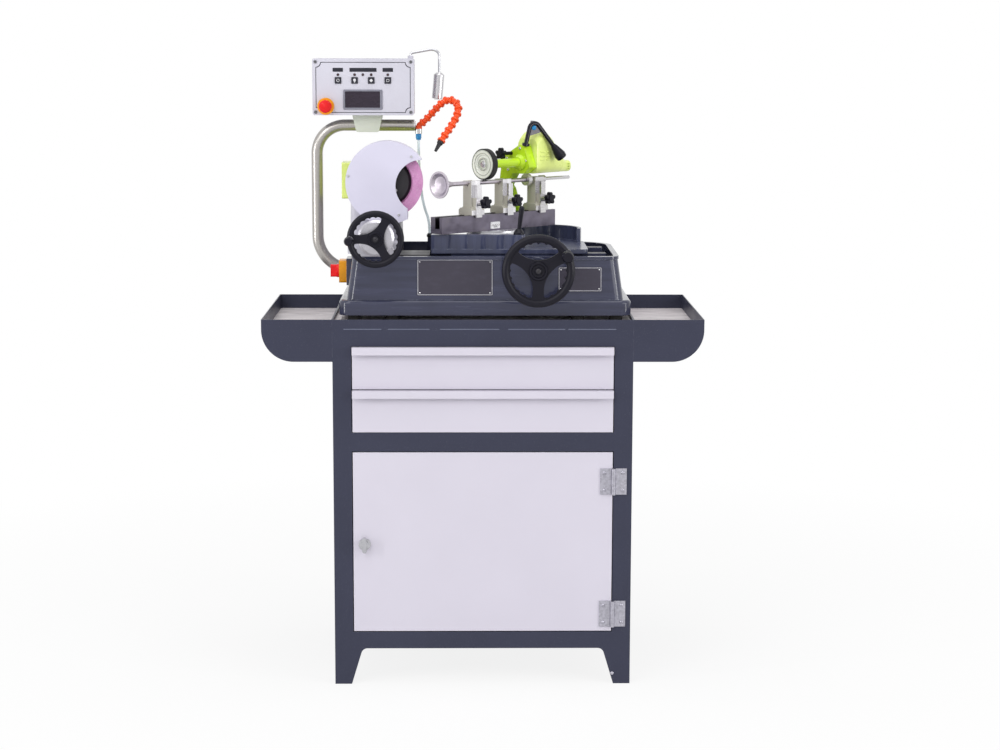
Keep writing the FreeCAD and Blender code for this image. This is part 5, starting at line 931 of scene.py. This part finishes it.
class GRINDER_OT_work_head(bpy.types.Operator):
    """Finishes the turntable, rail, stands, knobs and valve, and adds the scale and its pointer"""
    bl_idname = "grinder.work_head"
    bl_label = "Work head"

    def execute(self, context):
        look = settings().head
        rod = brushed_metal("stop_rod_steel", (0.58, 0.57, 0.58), 0.28)
        self.stands(look, rod)
        self.scale(look, rod)
        return {"FINISHED"}

    def stands(self, look, rod):
        """Finishes the CAD pieces of the work head, with zones on the rail and the stands."""
        pale = brushed_metal("turntable_metal", (0.72, 0.72, 0.75), 0.36)
        black = moulded("knob_black", look.black, 0.36, 0.3, 1600.0)
        satin = brushed_metal("strap_metal", (0.74, 0.73, 0.75), 0.26, (1.0, 1.0, 0.1))
        cream = sprayed_coat("stand_coat", look.cream, 0.38, 0.3, (0.7, 0.68, 0.64), 0.4)
        ground = (0.06, 1.0, 1.0)
        # Darker steel on the rail's top faces and on the walls of its slot; on the slot walls it is painted
        # shade.
        dark_top_and_slot_steel = brushed_metal("rail_top_and_slot_shade_steel", rgba(look.rail, 0.35)[:3], 0.36, ground, RAIL_ANGLE, 0.2)
        blackened = brushed_metal("rail_steel", look.rail, 0.34, ground, RAIL_ANGLE, 0.3)
        lime = gloss_enamel("bracket_enamel", look.gear_lime)
        axis = along_rail(1.0, 0.0, 0.0)
        turned = lathe_turned("valve_steel", (0.46, 0.42, 0.47), on_rail(0, 0, VALVE_Z), axis, 0.3, 1.3 * MM)

        def local(centre):
            return Matrix.Rotation(-RAIL_ANGLE, 3, "Z") @ (centre - SWIVEL)

        # Top faces, and the slot's walls, which are darkened as painted shade.
        def top_or_slot_wall(centre, normal):
            in_slot = centre.z > SLOT_FLOOR and abs(local(centre).y - SLOT_MIDDLE) < SLOT_HALF
            return normal.z > 0.9 or in_slot and normal.z < 0.3

        def ear(centre, normal):
            return local(centre).y > RAIL_BACK

        def strap(centre, normal):
            side = local(centre).y
            return side < STRAP_FACE or side < STRAP_HEAD_FACE and centre.z > STRAP_HEAD_Z

        def stop_metal(centre, normal):
            place = local(centre)
            near_rod = math.hypot(place.y, place.z - VALVE_Z) < STOP_ROD_REACH
            return strap(centre, normal) or near_rod and abs(place.x - STOP_MIDDLE) > STOP_HALF

        dress("turntable", pale)
        dress("work_rail", blackened, (dark_top_and_slot_steel, top_or_slot_wall), (lime, ear))
        dress("v_block_front", cream, (satin, strap))
        dress("v_block_rear", cream, (satin, strap))
        dress("stop_block", cream, (rod, stop_metal))
        for node in ("front_knob", "rear_knob", "stop_knob"):
            dress(node, black)
        dress("clamp_lever", moulded("lever_black", look.black, 0.34, 0.2, 1600.0))
        dress("valve", turned)

    def scale(self, look, steel):
        """Adds the graduated ring round the turntable and the pointer plate on the rail."""
        white = printed_foil("scale_white", (0.82, 0.82, 0.84), 0.35)
        ink = printed_foil("scale_ink", (0.03, 0.03, 0.035))
        foot = SWIVEL + Vector((0, 0, SCALE_FOOT))
        inside, outside = TABLE_RADIUS - 0.3, TABLE_RADIUS + 0.35
        section = ((inside, 0), (outside, 0), (outside, SCALE_HEIGHT), (inside, SCALE_HEIGHT), (inside, 0))
        piece("swivel_scale", "swivel", "aluminium", white, lathe(section, foot, (0, 0, 1), SCALE_MARKS))
        marks = []
        half = look.tick / MM / 2
        for i in range(SCALE_MARKS):
            turn = math.radians(360 / SCALE_MARKS * i)
            out = Vector((math.cos(turn), math.sin(turn), 0.0))
            tall = 8.5 if i % 6 == 0 else 5.0
            root = foot + out * (TABLE_RADIUS + 0.3) + Vector((0, 0, 1.0))
            spot = Plane(root, Vector((0, 0, 1)).cross(out), (0, 0, 1))
            marks.append(slab([(-half, 0), (half, 0), (half, tall), (-half, tall)], spot, -0.1, 0.2))
        piece("swivel_graduations", "swivel", "black_plastic", ink, *marks)
        front = Plane(on_rail(0, RAIL_FRONT, 0), along_rail(1, 0, 0), (0, 0, 1))
        plate = slab(rounded(*POINTER_PLATE, 2), front, -0.3, 1.6)
        piece("pointer_plate", "swivel", "aluminium", white, plate, round_edge=0.3)
        heads = [socket_screw(front.at(u, v, 1.6), front.out, 2.6, 1.6) for u, v in POINTER_SCREWS]
        piece("pointer_screws", "swivel", "steel", steel, *heads)
        lines = [slab(rounded(u - 0.5, u + 0.5, POINTER_LINE_FOOT, top, 0.3), front, 1.5, 1.75)
                 for u, top in POINTER_LINES]
        piece("pointer_lines", "swivel", "black_plastic", ink, *lines)


class GRINDER_OT_drive(bpy.types.Operator):
    """Finishes the tilting friction drive and adds its bolts, rings, button and louvres"""
    bl_idname = "grinder.drive"
    bl_label = "Friction drive"

    def execute(self, context):
        look = settings().head
        axis = along_rail(1.0, 0.0, 0.0)
        side = along_rail(0.0, -1.0, 0.0)
        middle = on_rail(0, 0, DRIVE_HEIGHT)
        # The motor and its louvres take the paler lime, a painted highlight; the gear case keeps the enamel's
        # own lime.
        lime = gloss_enamel("drive_enamel_painted_highlight", look.lime)
        disc = lathe_turned("friction_disc", (0.78, 0.80, 0.74), middle, axis, 0.34, 1.6 * MM, 0.35)
        grey = brushed_metal("lever_web_steel", (0.22, 0.21, 0.23), 0.4, (0.1, 1.0, 1.0))
        web = along_rail(*(LEVER_TOP - LEVER_ROOT).cross(LEVER_TIP - LEVER_TOP).normalized())
        dress("drive_gearbox", gloss_enamel("gear_case_enamel", look.gear_lime))
        dress("drive_motor", lime)
        dress("lift_lever", moulded("lift_lever_black", look.black, 0.34, 0.25, 1600.0),
              (grey, lambda c, n: abs(n.dot(web)) > 0.9995))
        dress("tension_knob", moulded("tension_black", look.black, 0.38, 0.3, 1600.0))
        dress("drive_wheel", disc)
        dress("drive_tyre", rubber("tyre_rubber", (0.016, 0.016, 0.017)))
        steel = polished("drive_bolt_steel", (0.66, 0.66, 0.68), 0.2)
        bolt = hex_bolt(on_rail(DISC_BOLT, 0, DRIVE_HEIGHT), -axis, 5.0, 4.2)
        piece("friction_wheel_bolt", "friction_wheel", "steel", steel, bolt)
        disc_face = on_rail(DISC_FACE, 0, DRIVE_HEIGHT)
        rings = [lathe(((r0, 0.3), (r0 + 0.3, -0.9), (r1 - 0.3, -0.9), (r1, 0.3)), disc_face, axis, 56)
                 for r0, r1 in DISC_RINGS]
        ridge = lathe_turned("disc_ring_metal", (0.50, 0.53, 0.47), middle, axis, 0.3, 0.8 * MM, 0.6)
        piece("disc_rings", "friction_wheel", "aluminium", ridge, *rings)
        case_face = Plane(on_rail(CASE_FACE, 0, 0), side, (0, 0, 1))
        heads = [socket_screw(case_face.at(u, DRIVE_HEIGHT + v), case_face.out, 3.2, 2.6)
                 for u, v in CASE_SCREWS]
        piece("gear_case_screws", "drive_head", "steel", steel, *heads)
        blue = moulded("lever_button_blue", (0.03, 0.28, 0.62), 0.3, 0.1)

        def from_side(node, along, above):
            return seat(node, on_rail(along, 0, DRIVE_HEIGHT + above) + side * CLEAR_OF_DRIVE, -side)

        cover = from_side("lift_lever", *LEVER_BUTTON)
        button = lathe(((0, -2), (5.5, -2), (5.5, 1.6), (4.2, 2.8), (0, 3.2)), cover.origin, cover.out)
        piece("lever_button", "drive_head", "blue_fitting", blue, button)
        louvres = [slab(rounded(-7, 7, -2.2, 2.2, 1.6), from_side("drive_motor", a, b), -1.0, 1.3)
                   for a in LOUVRE_COLUMNS for b in LOUVRE_ROWS]
        piece("drive_louvres", "drive_head", "lime_paint", lime, *louvres, round_edge=0.9)
        return {"FINISHED"}


class GRINDER_OT_control_box(bpy.types.Operator):
    """Finishes the switch box on its tube, and adds its printed lid, lights and screws"""
    bl_idname = "grinder.control_box"
    bl_label = "Switch box"

    def execute(self, context):
        look = settings().control
        self.housing(look)
        self.lid(look)
        self.signs()
        return {"FINISHED"}

    def housing(self, look):
        """Finishes the tube, the box and both switches."""
        even = (1.0, 1.0, 1.0)
        tube = brushed_metal("tube_steel", (0.43, 0.41, 0.39), 0.3, even, 0.0, 0.12, 260.0, 0.08)
        yellow = moulded("stop_yellow", look.yellow, 0.32, 0.12, 900.0, 0.2)
        red = moulded("stop_red", look.red, 0.28, 0.1, 900.0, 0.15)
        dress("support_tube", tube)
        # The clamp's faint green tint is a painted reflection of the lime paint nearby.
        dress("box_clamp", sprayed_coat("clamp_coat_lime_reflection", (0.66, 0.69, 0.62), 0.35))
        dress("control_box", sprayed_coat("box_coat", look.box, 0.42, 0.45, (0.8, 0.8, 0.84), 0.3))
        dress("control_lid", sprayed_coat("lid_coat", look.box, 0.4, 0.2, (0.8, 0.8, 0.84), 0.2))
        dress("estop_collar", yellow)
        dress("estop_button", red)
        dress("main_switch_box", yellow)
        dress("main_switch_knob", red)

    def lid(self, look):
        """Finishes the keys, and adds the print, the lights, the dark panel and the screws."""
        lid = front_plane(LID_FRONT)
        dark_plastic = moulded("key_dark", (0.03, 0.03, 0.042), 0.36, 0.15, 1800.0)
        for i in range(len(KEY_COLUMNS)):
            dress("key_%d" % (i + 1), dark_plastic)
        ink = printed_foil("lid_print", look.line)
        inked = [band(notched(*LID_LINE, 11), notched(*inset(LID_LINE, 1.4), 11), lid, -0.2, 0.25)]
        for u0, u1 in LID_BARS:
            inked.append(slab(rounded(u0, u1, *LID_BAR_ROWS, 0.8), lid, -0.2, 0.25))
        piece("lid_print", "stand", "black_plastic", ink, *inked)
        rims = [band(circle(u, LIGHT_ROW, 3.1), circle(u, LIGHT_ROW, 2.0), lid, -0.2, 0.6)
                for u in LIGHT_COLUMNS]
        piece("light_rims", "stand", "black_plastic", dark_plastic, *rims)
        dome = ((0, -0.3), (2.1, -0.3), (2.0, 0.5), (1.2, 1.1), (0, 1.3))
        lights = [lathe(dome, (u, LID_FRONT, LIGHT_ROW), FRONT, 16) for u in LIGHT_COLUMNS]
        smoke = moulded("light_smoke", (0.06, 0.015, 0.02), 0.16, 0.02, 900.0, 0.5)
        piece("lights", "stand", "black_plastic", smoke, *lights)
        grey = printed_foil("panel_bezel", (0.22, 0.22, 0.27))
        bezel = band(rounded(*BEZEL_OUTSIDE, 3), rounded(*BEZEL_INSIDE, 1.5), lid, -0.3, 1.8)
        piece("panel_bezel", "stand", "steel", grey, bezel, round_edge=0.4)
        glass = printed_foil("panel_face", (0.03, 0.022, 0.035), 0.2)
        piece("panel_face", "stand", "black_plastic", glass, slab(rounded(*PANEL_FACE, 1.5), lid, -0.3, 0.7))
        steel = brushed_metal("lid_screw_steel", (0.16, 0.16, 0.17), 0.35)
        heads = [socket_screw((u, LID_FRONT, v), FRONT, look.screw / MM, 2.4)
                 for u in LID_SCREW_COLUMNS for v in LID_SCREW_ROWS]
        piece("lid_screws", "stand", "steel", steel, *heads)

    def signs(self):
        """Plain signs on the keys: a ring, a bulb, a diamond and a square."""
        white = printed_foil("key_print", (0.75, 0.75, 0.78))
        print_layer = (front_plane(KEY_FRONT), -0.1, 0.15)
        ring, bulb, diamond, square = KEY_COLUMNS
        corners = [(diamond - 4, KEY_ROW), (diamond, KEY_ROW - 4),
                   (diamond + 4, KEY_ROW), (diamond, KEY_ROW + 4)]
        signs = {
            "key_1": [band(circle(ring, KEY_ROW, 3.6), circle(ring, KEY_ROW, 2.7), *print_layer)],
            "key_2": [slab(circle(bulb, KEY_ROW + 1, 3.0), *print_layer),
                      slab(rounded(*around(bulb, KEY_ROW - 2.9, 2.8, 3.0), 0.6), *print_layer)],
            "key_3": [slab(corners, *print_layer)],
            "key_4": [band(rounded(*around(square, KEY_ROW, 6.4, 6.0), 1),
                           rounded(*around(square, KEY_ROW, 4.8, 4.4), 0.6), *print_layer)],
        }
        for body, shapes in signs.items():
            piece(body + "_sign", body, "bright_chrome", white, *shapes)


class GRINDER_OT_coolant(bpy.types.Operator):
    """Finishes the coolant arm, its fitting and nozzle, and lays the clear feed tube"""
    bl_idname = "grinder.coolant"
    bl_label = "Coolant"

    def execute(self, context):
        look = settings().control
        dress("coolant_arm", moulded("arm_orange", look.hose, 0.3, 0.12, 900.0, 0.15))
        dress("coolant_nozzle", moulded("nozzle_black", (0.02, 0.02, 0.024), 0.35, 0.15))
        blue = moulded("fitting_blue", (0.04, 0.27, 0.62), 0.3, 0.12)
        plated = brushed_metal("fitting_steel", (0.58, 0.57, 0.57), 0.3)
        dress("hose_fitting", plated, (blue, lambda c, n: c.z < FITTING_COLLAR_Z))
        line = bpy.data.curves.new("feed_tube", "CURVE")
        line.dimensions = "3D"
        line.bevel_depth = 0.003
        line.bevel_resolution = 6
        line.use_fill_caps = True
        spline = line.splines.new("NURBS")
        spline.points.add(len(FEED_TUBE) - 1)
        for point, place in zip(spline.points, FEED_TUBE):
            point.co = (place[0] * MM, place[1] * MM, place[2] * MM, 1.0)
        spline.order_u = 3
        spline.use_endpoint_u = True
        spline.resolution_u = 10
        line.materials.append(clear_tube("tube_clear", (0.80, 0.89, 0.94)))
        tube = bpy.data.objects.new("feed_tube", line)
        bpy.context.scene.collection.objects.link(tube)
        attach(tube, "stand")
        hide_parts("coolant_tube")
        clip = moulded("tube_clip", (0.03, 0.03, 0.032), 0.4, 0.2)
        sleeve = ((4.6, -3), (6.4, -3), (6.9, -2), (6.9, 2), (6.4, 3), (4.6, 3), (4.6, -3))
        piece("spigot_clip", "stand", "black_plastic", clip, lathe(sleeve, SPIGOT, (0, 0, 1), 28))
        return {"FINISHED"}


class GRINDER_OT_lamp(bpy.types.Operator):
    """Finishes the work lamp and adds its lens"""
    bl_idname = "grinder.lamp"
    bl_label = "Lamp"

    def execute(self, context):
        even = (1.0, 1.0, 1.0)
        arm = brushed_metal("lamp_arm_steel", (0.55, 0.55, 0.58), 0.24, even, 0.0, 0.05, 900.0, 0.05)
        dress("lamp_arm", arm)
        dress("lamp_head", polished("lamp_head_chrome", (0.56, 0.55, 0.57), 0.22))
        low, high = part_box("lamp_head")
        middle = [(a + b) / 2 / MM for a, b in zip(low, high)]
        mouth = (middle[0], middle[1], low[2] / MM)
        lens = lathe(((0, 0.4), (8.5, 0.4), (9.5, -0.2), (9.5, -0.5), (0, -0.8)), mouth, (0, 0, 1), 28)
        piece("lamp_lens", "lamp", "lamp_metal", lamp_lens("lens_amber", (0.34, 0.16, 0.15)), lens)
        return {"FINISHED"}


class GRINDER_OT_stage(bpy.types.Operator):
    """Lays the pale floor and sets the light and the camera"""
    bl_idname = "grinder.stage"
    bl_label = "Stage"

    def execute(self, context):
        look = settings().stage
        scene = context.scene
        scene.view_settings.view_transform = "Standard"
        self.floor(scene, look)
        self.world(scene, look)
        middle = (0.0, 0.0, 0.8)
        trough = (0.0, -0.1, 0.95)
        self.lamp(scene, "key_lamp", look.key_light, (-2.2, -3.6, 3.4), middle, 2.6)
        self.lamp(scene, "fill_lamp", look.fill_light, (3.2, -2.6, 2.2), middle, 2.2)
        self.lamp(scene, "top_lamp", look.top_light, (0.0, -0.7, 4.4), middle, 2.8)
        self.lamp(scene, "left_strip", look.strip_light, (-3.4, -1.7, 1.15), trough, 0.35, 1.7)
        self.lamp(scene, "right_strip", 0.7 * look.strip_light, (3.4, -1.5, 1.15), trough, 0.35, 1.7)
        self.camera(scene, look)
        return {"FINISHED"}

    def floor(self, scene, look):
        """Pale floor that takes shadows near the stand and fades to white away from it."""
        mesh = bpy.data.meshes.new("studio_floor")
        reach = 14.0
        mesh.from_pydata([(-reach, -reach, 0), (reach, -reach, 0), (reach, reach, 0), (-reach, reach, 0)], [],
                         [(0, 1, 2, 3)])
        obj = bpy.data.objects.new("studio_floor", mesh)
        scene.collection.objects.link(obj)
        f = Finish("studio_floor")
        matt = f.node("ShaderNodeBsdfDiffuse", {}, {"Color": rgba(look.floor)})
        glow = f.node("ShaderNodeEmission", {}, {"Color": (1.0, 1.0, 1.0, 1.0), "Strength": 1.0})
        away = f.node("ShaderNodeVectorMath", {"operation": "LENGTH"}, {0: f.place()}, 1)
        share = f.straight_rays() * f.between(away, 0.5, 2.2, 0.86, 1.0)
        mesh.materials.append(f.close(f.node("ShaderNodeMixShader", {}, {0: share, 1: matt, 2: glow})))

    def world(self, scene, look):
        """Even white light that the camera and the glosses see as plain white."""
        f = Finish("studio_world", bpy.data.worlds.new("studio_world"))
        white = (1.0, 1.0, 1.0, 1.0)
        even = f.node("ShaderNodeBackground", {}, {"Color": white, "Strength": look.sky})
        plain = f.node("ShaderNodeBackground", {}, {"Color": white, "Strength": 1.0})
        mixed = f.node("ShaderNodeMixShader", {}, {0: f.straight_rays(), 1: even, 2: plain})
        scene.world = f.close(mixed, "ShaderNodeOutputWorld")

    def lamp(self, scene, name, power, place, target, size, tall=None):
        light = bpy.data.lights.new(name, "AREA")
        light.energy = power
        light.shape = "RECTANGLE"
        light.size = size
        light.size_y = tall or size
        obj = bpy.data.objects.new(name, light)
        obj.location = place
        obj.rotation_euler = (Vector(target) - Vector(place)).to_track_quat("-Z", "Y").to_euler()
        scene.collection.objects.link(obj)

    def camera(self, scene, look):
        data = bpy.data.cameras.new("camera")
        data.sensor_width = 36.0
        data.lens = look.lens
        data.clip_end = 60.0
        obj = bpy.data.objects.new("camera", data)
        level = math.cos(CAMERA_PITCH)
        ahead = Vector((math.sin(CAMERA_YAW) * level, math.cos(CAMERA_YAW) * level, -math.sin(CAMERA_PITCH)))
        flat = Vector((math.cos(CAMERA_YAW), -math.sin(CAMERA_YAW), 0.0))
        upright = flat.cross(ahead)
        right = flat * math.cos(CAMERA_ROLL) + upright * math.sin(CAMERA_ROLL)
        up = upright * math.cos(CAMERA_ROLL) - flat * math.sin(CAMERA_ROLL)
        turned = Matrix((right, up, -ahead)).transposed().to_4x4()
        obj.matrix_world = Matrix.Translation(CAMERA_PLACE) @ turned
        scene.collection.objects.link(obj)
        scene.camera = obj


class GRINDER_PT_sidebar(bpy.types.Panel):
    """Lists the steps and settings of the grinder"""
    bl_idname = "GRINDER_PT_sidebar"
    bl_label = "Valve face grinder"
    bl_space_type = "VIEW_3D"
    bl_region_type = "UI"
    bl_category = "Grinder"

    def draw(self, context):
        for part in GrinderSettings.__annotations__:
            box = self.layout.box()
            box.label(text=part.capitalize())
            values = getattr(context.scene.grinder, part)
            for name in type(values).__annotations__:
                box.prop(values, name)
        for step in STEPS:
            self.layout.operator(step.bl_idname)


STEPS = (GRINDER_OT_stage, GRINDER_OT_coolant, GRINDER_OT_stand, GRINDER_OT_drawers, GRINDER_OT_base,
         GRINDER_OT_grinding_head, GRINDER_OT_handwheels, GRINDER_OT_work_head, GRINDER_OT_drive,
         GRINDER_OT_control_box, GRINDER_OT_lamp)
SETTINGS = (StandSettings, BaseSettings, HeadSettings, ControlSettings, StageSettings, GrinderSettings)
CLASSES = SETTINGS + STEPS + (GRINDER_PT_sidebar,)


def register():
    for cls in CLASSES:
        bpy.utils.register_class(cls)
    bpy.types.Scene.grinder = group(GrinderSettings, "Grinder", "Settings of the valve face grinder")


def unregister():
    del bpy.types.Scene.grinder
    for cls in reversed(CLASSES):
        bpy.utils.unregister_class(cls)


def main():
    register()
    for step in STEPS:
        getattr(bpy.ops.grinder, step.bl_idname.split(".")[1])()


if __name__ == "__main__":
    main()
